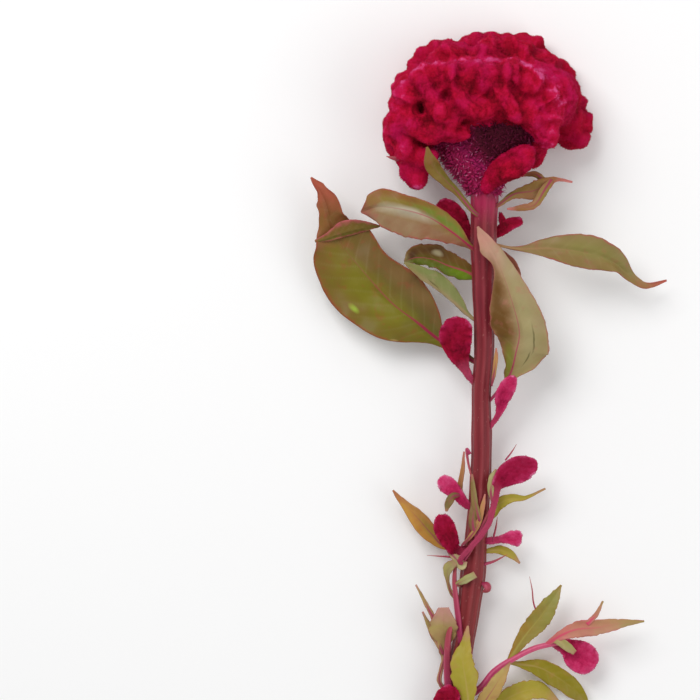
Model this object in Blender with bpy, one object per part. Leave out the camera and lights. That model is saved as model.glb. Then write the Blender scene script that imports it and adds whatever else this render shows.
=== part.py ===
"""A cut cockscomb celosia, lying on its back on a flat surface.

Lengths are in millimetres until mesh_object turns them into metres. X is to the right of the
middle of the whole stem, Y runs up the stem towards the head, and Z is the height above the surface.
"""

import math
import random
from dataclasses import dataclass

import bmesh
import bpy
import numpy as np
from mathutils import Vector
from mathutils.bvhtree import BVHTree

MM = 0.001

STEM_TOP = 97.0  # where the stem meets the flower head
CUT_END = -180.0
SEAT_GAP = 0.35  # left between a piece and what carries it
STEM_RIBS = 8
STEM_RIB_DEPTH = 0.07  # share of the radius
STEM_SIDES = 24
STEM_STEPS = 26

# x, y, z of the stem's centre and its radius, from the head down to the cut end
STEM_STATIONS = [
    (-2.5, 97.0, 27.5, 6.7),
    (-3.0, 75.0, 25.8, 6.1),
    (-3.0, 50.0, 24.0, 5.3),
    (-2.5, 20.0, 21.5, 4.7),
    (-3.8, -0.5, 19.7, 4.6),
    (-3.6, -21.0, 17.9, 5.0),
    (-3.8, -38.5, 16.3, 4.9),
    (-5.0, -60.0, 14.5, 5.2),
    (-6.5, -78.0, 13.0, 5.6),
    (-7.8, -94.0, 11.6, 6.0),
    (-9.8, -110.0, 10.2, 5.5),
    (-12.0, -125.0, 8.9, 5.4),
    (-17.5, -155.0, 6.7, 5.5),
    (-22.5, -180.0, 5.2, 5.7),
]

# height y, centre x and z, half width in x and half depth in z of the bed that carries the florets
BED_STATIONS = [
    (97.4, -2.5, 27.5, 7.0, 6.6),
    (104.0, -3.5, 28.0, 10.5, 9.0),
    (112.0, -4.5, 28.5, 16.5, 11.5),
    (122.0, -3.0, 29.0, 23.5, 13.5),
    (132.0, -0.5, 29.5, 27.0, 14.5),
    (140.0, 0.5, 29.0, 22.0, 12.0),
    (145.0, 0.5, 29.0, 12.0, 7.0),
]
BED_SIDES = 20
FLORET_LENGTH = 3.4
FLORET_RADIUS = 1.9
FLORET_SPACING = 3.9
FLORET_CLEARANCE = 1.0  # kept between a floret and the folds of the crest


@dataclass
class Fold:
    """One rolled fold of the crest: a tube along a path, in millimetres."""

    path: list  # x, y, z of the centre and the radius
    ruffles: float = 0.0  # how many times it swings from side to side
    swing: float = 0.0  # how far
    steps: int = 9
    sides: int = 8
    phase: float = 0.0


CREST_FOLDS = [
    # the crest's back lip, which lies on the surface
    Fold([(-42, 142, 13, 8.2), (-37, 155, 9.5, 8.6), (-30, 163.5, 8.5, 9), (-18, 168, 8.5, 9.3),
          (-5, 169.5, 9, 9.2), (8, 171, 9, 9.2), (20, 168.5, 8.5, 9.4), (28.5, 161, 9, 9.4),
          (36, 150, 10, 9.6), (42, 138, 11.5, 9.4), (42.5, 127.5, 13, 8.8)], 8.5, 1.9, 52, 8, 0.4),
    # the middle lip
    Fold([(-39, 143, 28, 8.5), (-32, 155, 28, 9), (-20, 163, 27, 9.4), (-4, 165, 27, 9.4),
          (12, 167.5, 27, 9.6), (24, 161, 27, 9.4), (33, 150, 27, 9.4), (39, 137, 26, 9)],
         6.5, 2.2, 34, 8, 2.0),
    # the front lip
    Fold([(-43, 121, 38, 7.5), (-45, 131, 42, 8), (-42, 142, 45, 8.2), (-35.5, 149.5, 47, 8.4),
          (-24.5, 153.5, 48, 8.6), (-11, 152.5, 49, 8.6), (2.5, 154, 49, 8.6), (14.5, 153, 47.5, 8.6),
          (24, 148, 44.5, 8.4), (28.5, 139.5, 42, 7.8), (27, 130, 41, 7)], 9.5, 1.9, 56, 8, 1.1),
    # folds at both ends, from the back lip round to the front one
    Fold([(-42, 142, 14, 8), (-46, 131, 20, 7.2), (-45, 120.5, 28, 7), (-42, 117, 36, 7)], 2, 1.2, 11),
    Fold([(43, 127, 15, 8), (37, 141, 22, 8.4), (33, 146, 33, 8), (26, 146, 42, 7)], 2, 1.2, 10),
    # folds that hang from the front lip
    Fold([(-30, 148, 50, 5.5), (-28, 139, 52, 6.2), (-21.5, 133, 52, 5.8), (-15, 135, 50, 5)], 1, 0.8),
    Fold([(-17, 149, 51, 5.2), (-12.5, 140, 53, 6), (-5, 136.5, 53, 5.8), (0.5, 141, 51, 5)], 1, 0.8),
    Fold([(3, 149, 51, 5.2), (8, 139.5, 52, 6), (13.5, 134, 50, 5.6), (18, 138, 48, 5)], 1, 0.8),
    Fold([(-43, 138, 46, 5.6), (-38, 130, 49, 6.4), (-29, 126.5, 49, 6.2), (-20, 128, 47, 5)],
    1.4, 0.9, 10),
    Fold([(-46, 128, 40, 5.6), (-42, 119, 42, 6.4), (-34, 114.5, 41, 5.8), (-27, 118, 38, 4.8)],
    1.4, 0.9, 10),
    Fold([(18, 143, 47, 5.6), (19.5, 133, 47, 6), (27, 126, 42, 6.2), (29, 120.5, 37, 5.2)], 1.4, 0.9, 10),
    # the lobe at the lower left and the small ones at the lower right
    Fold([(-38, 118, 34, 6), (-37.5, 110, 35, 7), (-37, 103, 35, 5.2), (-38, 99.5, 35, 3)], 0, 0, 8),
    Fold([(26, 126, 30, 6.5), (23, 118, 31, 6), (17, 114, 34, 5.4), (14, 110, 36, 4)], 1, 0.8),
    # the smooth tongue that runs down over the florets to the neck
    Fold([(22, 119, 39, 5), (14, 112.5, 42, 6.8), (6, 108.5, 41.5, 6.2), (0, 102.5, 38.5, 4.6),
          (-2.5, 96, 35.8, 2.4)], 0, 0, 11),
    # folds of the back, partly pressed on the surface
    Fold([(-33, 150, 8, 5.5), (-30, 138, 5.5, 6.4), (-22, 131, 6, 6), (-14, 136, 8, 5)], 1, 0.8),
    Fold([(-11, 158, 8, 5.5), (-6, 146, 5.5, 6.6), (4, 141, 5.5, 6.2), (10, 147, 8, 5)], 1, 0.8),
    Fold([(19, 156, 8, 5.5), (21, 144, 5.5, 6.6), (30, 134, 6, 6.2), (31, 125, 9, 5)], 1, 0.8),
    Fold([(-42, 134, 15, 6), (-38, 124, 13, 6.2), (-30, 119, 13, 5.6), (-24, 123, 13, 4.8)], 1, 0.8),
]
# centre and half sizes of the solid middle that the folds stand out of
CREST_CORE = ((-1.5, 146.0, 29.0), (46.0, 21.0, 23.5))
CORE_BLUNTNESS = 0.7  # 1 for an oval's pointed ends, 0 for a straight bar
FOLD_SWELL = 0.1  # share of a fold's radius by which it swells and thins
FOLD_LOBES = 0.07
TIP_STEPS = 1.6  # how many rings of a fold its round tip takes
TIP_LEAST = 0.35
CREST_VOXEL = 1.5
CREST_KEPT = 0.1  # share of the faces kept after the crest is evened out
CORE_RINGS = 9
CORE_SIDES = 16


@dataclass
class Strip:
    """A thin waved strip of leaf or comb along its midrib, in millimetres."""

    midrib: list  # x, y, z
    left: list  # half widths, to the left of the way that the midrib runs
    right: list
    tilt: tuple = (10.0, 10.0)  # how far the left and right halves rise, in degrees
    waves: float = 2.0
    wave_height: float = 0.8
    rows: int = 7
    columns: int = 2


@dataclass
class Blade:
    """A leaf, bract or side comb: one strip, or several fused together."""

    name: str
    material: str
    strips: list
    carrier: str = "stem"
    thickness: float = 0.8
    rib: float = 1.5


@dataclass
class Finish:
    """The plain colour of one material."""

    name: str
    colour: tuple
    roughness: float = 0.6


FINISHES = [
    Finish("stem_skin", (0.33, 0.075, 0.095), 0.45),
    Finish("crest_velvet", (0.36, 0.004, 0.045), 0.9),
    Finish("floret_purple", (0.24, 0.012, 0.1), 0.7),
    Finish("leaf_olive", (0.26, 0.23, 0.08), 0.5),
    Finish("leaf_lime", (0.42, 0.44, 0.09), 0.5),
    Finish("leaf_blush", (0.55, 0.27, 0.16), 0.5),
    Finish("comb_crimson", (0.38, 0.006, 0.05), 0.85),
    Finish("comb_pink", (0.5, 0.02, 0.14), 0.8),
    Finish("shoot_pink", (0.6, 0.1, 0.2), 0.5),
]

LEAF_ROWS = 12
LEAF_COLUMNS = 4

BLADES = [
    Blade("leaf_upper_left", "leaf_olive", [Strip(
        [(-5, 68, 26), (-11, 72.5, 29.5), (-19, 78.5, 33), (-30, 85.5, 35), (-42.5, 89.5, 34),
          (-55, 91, 31), (-64, 88.5, 28)],
        [0.8, 2, 6.5, 12, 13, 9.5, 0.5], [0.8, 1.6, 5.5, 7, 7.5, 9, 0.5],
        (-8, 14), waves=2.5, wave_height=1.0, rows=LEAF_ROWS, columns=LEAF_COLUMNS)]),
    Blade("leaf_large_left", "leaf_olive", [Strip(
        [(-4, 12, 18.5), (-24.5, 25, 16), (-36, 34, 17), (-49, 44, 18), (-62, 58.5, 17.5),
          (-72.5, 71.5, 16),
         (-78.5, 84, 18), (-82, 95, 22), (-89, 106, 25)],
        [0.8, 3.5, 13, 20, 23, 18, 7, 3.5, 0.4], [0.8, 5, 14.5, 19.5, 14.5, 16, 8, 6, 0.4],
        (-6, 10), waves=3.0, wave_height=1.4, rows=16, columns=LEAF_COLUMNS)]),
    Blade("leaf_curled_left", "leaf_lime", [Strip(
        [(-5, 56, 23), (-12, 59.5, 22.5), (-20, 62, 23), (-29, 65.5, 24), (-37, 66, 25), (-42.5, 64, 25)],
        [1, 5, 5, 4, 3.5, 0.5], [1, 5, 7.5, 8.5, 7, 0.5],
        (-10, 24), waves=2.0, wave_height=0.8, rows=9, columns=LEAF_COLUMNS)]),
    Blade("leaf_narrow_left", "leaf_lime", [Strip(
        [(-4, 33, 22), (-10.5, 37.5, 22), (-17.5, 44, 23), (-25, 50.5, 24), (-34, 57.5, 26),
          (-42.5, 63.5, 29)],
        [0.8, 0.9, 1.0, 1.2, 2, 0.4], [0.8, 1.2, 5, 6.5, 4.5, 0.4],
        (0, -8), waves=1.5, wave_height=0.5, rows=9, columns=2)]),
    Blade("leaf_right", "leaf_olive", [Strip(
        [(0, 73, 26), (13.5, 70.5, 28), (27.5, 70.5, 29), (40, 69.5, 29.5), (52.5, 67, 28), (62.5, 63, 25),
         (71, 56.5, 20), (79, 52.5, 16), (89.5, 55, 13)],
        [0.8, 1, 5, 8.5, 9.5, 6.5, 2.6, 1.4, 0.4], [0.8, 1, 4.5, 7.5, 7.5, 4.2, 2.6, 1.8, 0.4],
        (8, 6), waves=2.0, wave_height=1.0, rows=14, columns=LEAF_COLUMNS)]),
    Blade("leaf_front", "leaf_olive", [Strip(
        [(-2, -8, 19.5), (6, 1, 20.5), (10.5, 8, 24), (13, 18.5, 29), (14.5, 29, 32), (11, 43, 35),
         (5, 60, 37), (-1, 72, 37.5), (-6.5, 81, 38)],
        [0.8, 0.9, 2.5, 7.5, 13, 12, 4, 5, 0.4], [0.8, 0.9, 4, 15.5, 14, 11, 6.5, 3.5, 0.4],
        (-14, 6), waves=2.5, wave_height=1.0, rows=14, columns=LEAF_COLUMNS)]),
    Blade("leaf_behind_right", "leaf_blush", [Strip(
        [(0, 72, 21), (6, 68, 20), (10.5, 62, 19), (13, 54, 18), (13.5, 46, 16)],
        [0.8, 2, 4, 3.6, 0.4], [0.8, 2.4, 4.4, 3.4, 0.4], (8, 8), rows=7, columns=2)]),
    Blade("leaf_hooked", "leaf_blush", [
        Strip([(-1, 89, 27), (5, 92.6, 29), (12, 97.4, 30.4), (21.5, 99, 31), (27.5, 102, 31),
          (33, 104.5, 30), (41, 103.5, 29)],
              [0.7, 1, 1.8, 4.5, 4, 1.4, 0.4], [0.7, 1.2, 2.4, 4.5, 3.2, 1, 0.4], (14, 6),
              rows=9, columns=2),
        Strip([(30.5, 104.5, 30.6), (27, 99.5, 32.5), (22, 92, 33), (15.5, 90.5, 32), (8.5, 90, 30)],
              [1.2, 2.2, 1.8, 1.6, 0.4], [1.2, 2.2, 2.2, 1.6, 0.4], (6, 6), rows=8, columns=2),
        Strip([(27, 104, 30.6), (22.5, 107.3, 29.5), (16, 106.8, 27.5)],
              [1.5, 1.6, 0.5], [1.5, 1.6, 0.5], (4, 4), rows=5, columns=2)]),
    Blade("leaf_under_head", "leaf_lime", [Strip(
        [(-4.5, 86, 30), (-9.5, 89.5, 35), (-17, 98, 42), (-23.5, 104, 49), (-29.5, 110.5, 54),
          (-32, 119, 57)],
        [0.9, 1.2, 1.8, 3, 3.8, 0.5], [0.9, 1.2, 1.8, 2.6, 3.6, 0.5], (10, 10), rows=9, columns=2)]),

    Blade("bract_left_orange", "leaf_blush", [Strip(
        [(-6.5, -81, 11), (-21.5, -79, 10), (-28.5, -72.5, 11), (-35, -65, 12), (-41.5, -58, 12.5),
          (-48, -50.5, 12)],
        [0.8, 1.6, 4.5, 4.6, 2.4, 0.4], [0.8, 1.6, 4, 4, 2, 0.4], (8, 8), rows=9, columns=2)]),
    Blade("bract_left_thin", "leaf_blush", [Strip(
        [(-4.5, -62, 12), (-12, -57, 10.5), (-14.2, -50, 11), (-13, -40, 12.5), (-12.2, -31, 13.5)],
        [0.7, 1.3, 1.5, 1, 0.4], [0.7, 1.3, 1.5, 1.2, 0.4], (14, 14), rows=8, columns=2)]),
    Blade("bract_stem_front", "leaf_lime", [Strip(
        [(-3.5, -68, 17), (-5, -64.5, 21.6), (-7, -56.5, 22.6), (-8, -48, 22.2), (-8.6, -42, 23)],
        [0.8, 1.2, 1.8, 1.4, 0.4], [0.8, 1.2, 1.6, 1.2, 0.4], (-16, -16), rows=7, columns=2)]),
    Blade("bract_right_green", "leaf_lime", [Strip(
        [(-3, -68, 13), (2.5, -63, 14), (5, -57.5, 15.5), (11, -54.5, 16.5), (18.5, -54, 16.5),
          (28.5, -49.5, 16)],
        [0.8, 1.3, 3, 2.6, 1.1, 0.4], [0.8, 1.3, 3, 2.2, 1.1, 0.4], (10, 10), rows=9, columns=2)]),
    Blade("bract_right_lower", "leaf_lime", [Strip(
        [(-4, -82, 11), (2, -80.8, 11.5), (6.5, -80.8, 11.8), (11.5, -82.8, 11), (16, -87.5, 9)],
        [0.8, 1.8, 2.5, 2, 0.4], [0.8, 1.4, 2.2, 2, 0.4], (12, 12), rows=7, columns=2)]),
    Blade("bract_pale_left", "leaf_lime", [Strip(
        [(-11, -108, 10), (-18, -103, 10.5), (-20.6, -95, 13), (-20, -89.5, 16.5), (-17, -86.5, 20)],
        [0.9, 1, 1, 3, 2.2], [0.9, 1, 1, 2.2, 1.6], (8, 8), rows=8, columns=2)]),
    Blade("bract_across_stem", "leaf_lime", [Strip(
        [(-10, -99, 10), (-15.6, -97.5, 15.6), (-12, -95, 19.6), (-7, -92, 20.8)],
        [0.8, 1.1, 1.8, 1.6], [0.8, 1.1, 2, 2], (-8, -8), rows=7, columns=2)]),
    Blade("leaf_left_shoot", "leaf_lime", [
        Strip([(-18, -154, 8), (-24.4, -147, 9), (-22.4, -136, 9.6), (-22, -127, 11.5),
          (-22.5, -119, 15), (-22.5, -109, 17.5)],
              [0.9, 1.2, 1.2, 4, 8, 3], [0.9, 1.2, 1.2, 3.6, 7.4, 2.6], (10, 10), rows=10, columns=4),
        Strip([(-22.6, -133, 10.4), (-27.5, -123, 12), (-33, -111.5, 12.5)],
              [0.8, 1.8, 0.4], [0.8, 1.4, 0.4], (8, 8), rows=6, columns=2),
        Strip([(-27.5, -114.5, 16.6), (-31.5, -107, 18), (-36.5, -97.5, 18)],
              [1.4, 1, 0.4], [1.4, 1, 0.4], (8, 8), rows=6, columns=2)]),
    Blade("leaf_low_front", "leaf_lime", [Strip(
        [(-14, -163, 9), (-10.4, -157.5, 15), (-11.5, -146, 18.5), (-13, -136, 19.5),
          (-11.5, -127, 18.5), (-10.5, -118, 18)],
        [0.9, 2.4, 7, 6.4, 3, 0.4], [0.9, 2.4, 6.4, 5.6, 2.6, 0.4], (-8, -8), rows=10, columns=4)]),
    Blade("leaf_low_middle", "leaf_blush", [Strip(
        [(-15, -167, 7.5), (-6, -162, 11), (1, -152, 15), (6, -144, 16), (11, -136.5, 15.5)],
        [0.9, 3.6, 4.6, 3, 0.4], [0.9, 3.6, 4.6, 3, 0.4], (8, 8), rows=9, columns=4)]),
    Blade("leaf_low_right", "leaf_lime", [Strip(
        [(-17, -172, 6), (-2, -164.5, 5), (12.5, -154.5, 6), (25, -151.5, 6.5), (37, -158.5, 4)],
        [0.9, 2, 5, 4.6, 0.4], [0.9, 2, 5, 4.6, 0.4], (6, 6), rows=9, columns=4)]),
    Blade("leaf_shoot_upright", "leaf_lime", [Strip(
        [(10, -136.5, 11), (18, -124, 13.5), (25.5, -114.5, 15), (31.5, -106, 15), (36.5, -98, 14)],
        [0.7, 4, 5.2, 3.5, 0.4], [0.7, 4, 6, 4, 0.4], (10, 10), rows=9, columns=4)], "shoot_right"),
    Blade("leaf_shoot_tip", "leaf_blush", [
        Strip([(28, -128.6, 13), (36, -123, 17.5), (44, -119.8, 18.5), (53.5, -119, 18.5),
          (65, -117, 17.5), (78, -116, 16)],
              [0.7, 2.4, 4, 4.2, 2.4, 0.4], [0.7, 2.4, 4.4, 4, 2.6, 0.4], (8, 8), rows=10, columns=2),
        Strip([(49, -117, 18.6), (53.5, -112.5, 19.5), (57, -105.5, 20)],
              [1.4, 1.2, 0.4], [1.4, 1.2, 0.4], (6, 6), rows=5, columns=2)], "shoot_right"),
    Blade("leaf_shoot_low", "leaf_lime", [Strip(
        [(9, -137, 10), (17, -138.5, 8.5), (26, -140, 9), (36, -145.5, 9.5), (45, -152.5, 8),
          (51.5, -160.5, 5)],
        [0.7, 1.8, 4.4, 5.4, 4, 0.4], [0.7, 1.8, 4.8, 5.8, 4.2, 0.4], (6, 6), rows=10, columns=4)],
        "shoot_right"),

    Blade("comb_left_1", "comb_crimson", [Strip(
        [(-6, 71, 22), (-11.5, 77.5, 21.5), (-16, 84.5, 22), (-21.5, 90.5, 22.5), (-25.5, 93.5, 23)],
        [1.5, 3.4, 5, 5, 2.6], [1.5, 3.4, 5.6, 5.4, 2.6], (10, 10), waves=2.5, rows=9, columns=4)],
        thickness=1.6, rib=2.0),
    Blade("comb_right_1", "comb_crimson", [
        Strip([(-1, 76, 22.5), (5.5, 79.5, 22), (10.5, 83, 22.5), (16.5, 84.5, 23)],
              [1.6, 2.8, 3, 2], [1.6, 2.8, 3.2, 2], (10, 10), rows=7, columns=2),
        Strip([(9.5, 81.5, 22.4), (6.6, 84.5, 23.2), (5.5, 88.5, 24)],
              [1.6, 1.8, 0.8], [1.6, 1.8, 0.8], (6, 6), rows=5, columns=2)], thickness=1.6, rib=2.0),
    Blade("comb_left_2", "comb_crimson", [Strip(
        [(-5, 0, 19.5), (-11.8, 10, 21), (-15, 19, 24.5), (-16.2, 27.5, 28), (-14.5, 36, 30)],
        [1.1, 2.2, 6.5, 9, 5], [1.1, 2.2, 5.5, 7.5, 6], (-6, 8), waves=2.5, rows=10, columns=4)],
        thickness=1.6, rib=2.0),
    Blade("comb_right_2", "comb_pink", [Strip(
        [(-2, -22, 18), (4.6, -12, 22), (6.5, -3.5, 27), (9.5, 3, 30), (12.4, 6.6, 31.5)],
        [1.1, 1.5, 3.8, 3.8, 1.6], [1.1, 1.5, 4, 4, 1.8], (8, 8), rows=8, columns=2)],
        thickness=1.6, rib=2.0),
    Blade("comb_right_3", "comb_pink", [Strip(
        [(-8.5, -88, 14.5), (-14.4, -85.6, 18.5), (-9, -78, 23), (-1, -68, 22.8), (2.4, -57, 21.4),
          (3.6, -48.5, 21.5),
         (8.5, -43, 22.5), (15, -39.6, 23.5), (20.6, -39, 24), (23.4, -40, 24)],
        [0.9, 1.1, 1.2, 1.3, 1.5, 2.6, 5.8, 6.8, 5.4, 2.6],
        [0.9, 1.1, 1.2, 1.3, 1.5, 2.6, 5.4, 6.6, 5.2, 2.6],
        (6, 6), waves=1.5, wave_height=0.5, rows=18, columns=4)], thickness=1.6, rib=2.0),
    Blade("comb_left_3", "comb_pink", [Strip(
        [(-5.5, -60, 15), (-11, -57.5, 15.5), (-16, -52, 17), (-21, -47.4, 18), (-25, -44.6, 18.5)],
        [1.3, 2, 3.2, 4.4, 2.6], [1.3, 2, 3.2, 4.4, 2.8], (8, 8), rows=8, columns=2)],
        thickness=1.6, rib=2.0),
    Blade("comb_left_4", "comb_crimson", [Strip(
        [(-8, -79, 13.5), (-16, -80.4, 16), (-19.6, -75, 18.5), (-22.4, -68.4, 20), (-23.4, -62.4, 20.5)],
        [1.2, 2.6, 4.6, 5.4, 3.4], [1.2, 2.6, 4.6, 5.4, 3.4], (8, 8), waves=2.5, rows=9, columns=4)],
        thickness=1.6, rib=2.0),
    Blade("comb_right_4", "comb_pink", [Strip(
        [(-4.5, -76, 13.5), (2, -75.6, 15), (6.5, -74.8, 16), (11, -74, 17), (16.4, -74.4, 17.6)],
        [1.5, 1.7, 1.9, 3.2, 4.4], [1.5, 1.7, 1.9, 3.4, 4.8], (8, 8), rows=8, columns=2)],
        thickness=1.6, rib=2.0),
    Blade("comb_shoot", "comb_pink", [Strip(
        [(32, -128, 12.5), (39, -129.6, 12), (44, -132.6, 12.6), (49.5, -136, 13), (54, -138.5, 13)],
        [0.9, 4.4, 7.6, 7.6, 4.2], [0.9, 4.2, 7.6, 7.6, 4.2], (8, 8), rows=9, columns=4)],
        "shoot_right", thickness=1.6, rib=2.0),
    Blade("comb_low_left", "comb_crimson", [Strip(
        [(-21, -175, 8.5), (-24, -167, 13), (-22, -159, 16.5), (-19.6, -152.6, 18), (-18, -148.6, 18.5)],
        [1.2, 3.6, 6.4, 6, 3], [1.2, 3.6, 5.6, 5.4, 3], (-8, -8), waves=2.5, rows=9, columns=4)],
        thickness=1.6, rib=2.0),
]
# a small bract that grows out of the comb behind it
COMB_BRACT = Blade("bract_on_comb", "leaf_olive", [Strip(
    [(-14.5, -52.5, 17), (-18.2, -53.2, 20.6), (-20.4, -56.6, 22.6), (-21.6, -60.4, 24.5)],
    [0.7, 1.8, 1.9, 0.5], [0.7, 1.8, 1.9, 0.5], (8, 8), rows=6, columns=2)], "comb_left_3")

SHOOT_PATH = [
    (-15, -158, 7.4, 1.7), (-4, -150.5, 9, 1.7), (3, -142, 10, 1.6), (12.5, -135.4, 11.5, 1.5),
    (23, -130, 13, 1.4), (32.5, -127.6, 13.6, 1.3), (35, -127.4, 13.6, 1.1),
]
SHOOT_STEPS = 15
SHOOT_SIDES = 8
FLOOR_DEPTH = 60.0
FLOOR_HALF = (120.0, 200.0)


def smooth(stations, count):
    """Points of an even curve through the stations, as a Catmull-Rom spline."""
    given = np.array(stations, float)
    if given.ndim == 1:
        given = given[:, None]
    ends = np.vstack([2 * given[0] - given[1], given, 2 * given[-1] - given[-2]])
    spans = len(given) - 1
    found = []
    for place in np.linspace(0, spans, count):
        i = min(int(place), spans - 1)
        t = place - i
        a, b, c, d = ends[i : i + 4]
        found.append(
            0.5 * (2 * b + (c - a) * t + (2 * a - 5 * b + 4 * c - d) * t**2 + (3 * b - a - 3 * c + d) * t**3)
        )
    return np.array(found)


def material_named(name):
    """The material of that name, made from its finish the first time."""
    if name in bpy.data.materials:
        return bpy.data.materials[name]
    finish = next(f for f in FINISHES if f.name == name)
    made = bpy.data.materials.new(name)
    made.use_nodes = True
    shader = made.node_tree.nodes["Principled BSDF"]
    shader.inputs["Base Color"].default_value = (*finish.colour, 1.0)
    shader.inputs["Roughness"].default_value = finish.roughness
    return made


def mesh_object(name, points, faces, material=None):
    """A scene object from points in millimetres."""
    mesh = bpy.data.meshes.new(name)
    mesh.from_pydata([tuple(float(v) * MM for v in p) for p in points], [], faces)
    mesh.validate()
    work = bmesh.new()
    work.from_mesh(mesh)
    bmesh.ops.recalc_face_normals(work, faces=work.faces)
    work.to_mesh(mesh)
    work.free()
    if material:
        mesh.materials.append(material_named(material))
    made = bpy.data.objects.new(name, mesh)
    bpy.context.scene.collection.objects.link(made)
    return made


def ring_stack(name, rings, material=None):
    """A closed solid from rings with equal numbers of points, capped at both ends."""
    sides = len(rings[0])
    points = [p for ring in rings for p in ring]
    faces = []
    for row in range(len(rings) - 1):
        for i in range(sides):
            a, b = row * sides + i, row * sides + (i + 1) % sides
            faces.append((a, b, b + sides, a + sides))
    faces.append(tuple(range(sides)))
    last = (len(rings) - 1) * sides
    faces.append(tuple(last + i for i in range(sides)))
    return mesh_object(name, points, faces, material)


def as_cutter(made):
    """Marks an object as a cutter, which isn't part of the model."""
    made.hide_render = True
    made.display_type = "WIRE"
    return made


def cut(made, cutter):
    """Cuts a closed cutter out of an object."""
    boolean = made.modifiers.new("cut", "BOOLEAN")
    boolean.operation = "DIFFERENCE"
    boolean.object = cutter


def islands(work):
    """The faces of each separate shell of a mesh."""
    left = set(work.faces)
    while left:
        shell = [left.pop()]
        for face in shell:
            for edge in face.edges:
                for near in edge.link_faces:
                    if near in left:
                        left.remove(near)
                        shell.append(near)
        yield shell


def enclosed(shell):
    """Six times the volume inside a shell, negative where it is the wall of a hollow."""
    total = 0.0
    for face in shell:
        first, *rest = [v.co for v in face.verts]
        for a, b in zip(rest, rest[1:]):
            total += first.dot(a.cross(b))
    return total


def fill_hollows(mesh):
    """Fills the hollows that are sealed inside a body."""
    work = bmesh.new()
    work.from_mesh(mesh)
    walls = [face for shell in list(islands(work)) if enclosed(shell) <= 0 for face in shell]
    bmesh.ops.delete(work, geom=walls, context="FACES")
    work.to_mesh(mesh)
    work.free()


def applied(made):
    """The object with its modifiers applied, and any hollow sealed inside it filled."""
    graph = bpy.context.evaluated_depsgraph_get()
    mesh = bpy.data.meshes.new_from_object(made.evaluated_get(graph))
    made.modifiers.clear()
    made.data = mesh
    fill_hollows(mesh)
    return made


def fused(name, pieces, material):
    """One object from several closed ones that overlap."""
    group = bpy.data.collections.new(name + "_pieces")
    bpy.context.scene.collection.children.link(group)
    first = pieces[0]
    for piece in pieces[1:]:
        bpy.context.scene.collection.objects.unlink(piece)
        group.objects.link(piece)
    join = first.modifiers.new("join", "BOOLEAN")
    join.operation = "UNION"
    join.operand_type = "COLLECTION"
    join.collection = group
    join.solver = "MANIFOLD"
    applied(first)
    first.data.materials.clear()
    first.data.materials.append(material_named(material))
    for piece in pieces[1:]:
        bpy.data.objects.remove(piece)
    bpy.data.collections.remove(group)
    first.name = name
    return first


def stem_rings(grow=0.0):
    """Ribbed rings down the stem, each in a level plane across it."""
    rings = []
    for x, y, z, radius in smooth(STEM_STATIONS, STEM_STEPS):
        ring = []
        for i in range(STEM_SIDES):
            angle = 2 * math.pi * i / STEM_SIDES
            r = radius * (1 + STEM_RIB_DEPTH * math.cos(STEM_RIBS * angle)) + grow
            ring.append((x + r * math.cos(angle), y, z + r * math.sin(angle)))
        rings.append(ring)
    return rings


def bed_ring(station, grow=0.0):
    """One oval ring of the floret bed."""
    y, x, z, half_width, half_depth = station
    ring = []
    for i in range(BED_SIDES):
        angle = 2 * math.pi * i / BED_SIDES
        ring.append(
            (x + (half_width + grow) * math.cos(angle), y, z + (half_depth + grow) * math.sin(angle))
        )
    return ring


def tip_rounding(steps_from_tip):
    """How much of its radius a fold has so near its tip."""
    near = max(0.0, 1 - steps_from_tip / TIP_STEPS)
    return max(TIP_LEAST, math.sqrt(1 - near**2))


def fold_rings(fold):
    """Rings along one fold, which swings from side to side and ends in round tips."""
    line = smooth(fold.path, fold.steps)
    rings = []
    for i, (x, y, z, radius) in enumerate(line):
        share = i / (fold.steps - 1)
        before, after = line[max(i - 1, 0)][:3], line[min(i + 1, fold.steps - 1)][:3]
        along = Vector(after - before).normalized()
        side = along.cross(Vector((0.2, 0.3, 1.0))).normalized()
        out = side.cross(along).normalized()
        angle = 2 * math.pi * fold.ruffles * share + fold.phase
        centre = Vector((x, y, z)) + out * (fold.swing * math.sin(angle)) + side * (
            0.6 * fold.swing * math.cos(0.7 * angle)
        )
        rounding = tip_rounding(min(i, fold.steps - 1 - i))
        r = radius * rounding * (1 + FOLD_SWELL * math.sin(2.3 * angle + 1.0))
        ring = []
        for k in range(fold.sides):
            turn = 2 * math.pi * k / fold.sides
            lobed = r * (1 + FOLD_LOBES * math.cos(3 * turn + angle))
            ring.append(centre + side * (lobed * math.cos(turn)) + out * (lobed * math.sin(turn)))
        rings.append(ring)
    return rings


def crest_core():
    """The oval middle of the crest, with a flat small cap at each end."""
    centre, half = CREST_CORE
    rings = []
    for row in range(CORE_RINGS):
        lift = math.pi * (row + 0.5) / CORE_RINGS
        girth = math.sin(lift) ** CORE_BLUNTNESS
        ring = []
        for i in range(CORE_SIDES):
            turn = 2 * math.pi * i / CORE_SIDES
            ring.append((
                centre[0] - half[0] * math.cos(lift),
                centre[1] + half[1] * girth * math.cos(turn),
                centre[2] + half[2] * girth * math.sin(turn),
            ))
        rings.append(ring)
    return ring_stack("core", rings)


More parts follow.
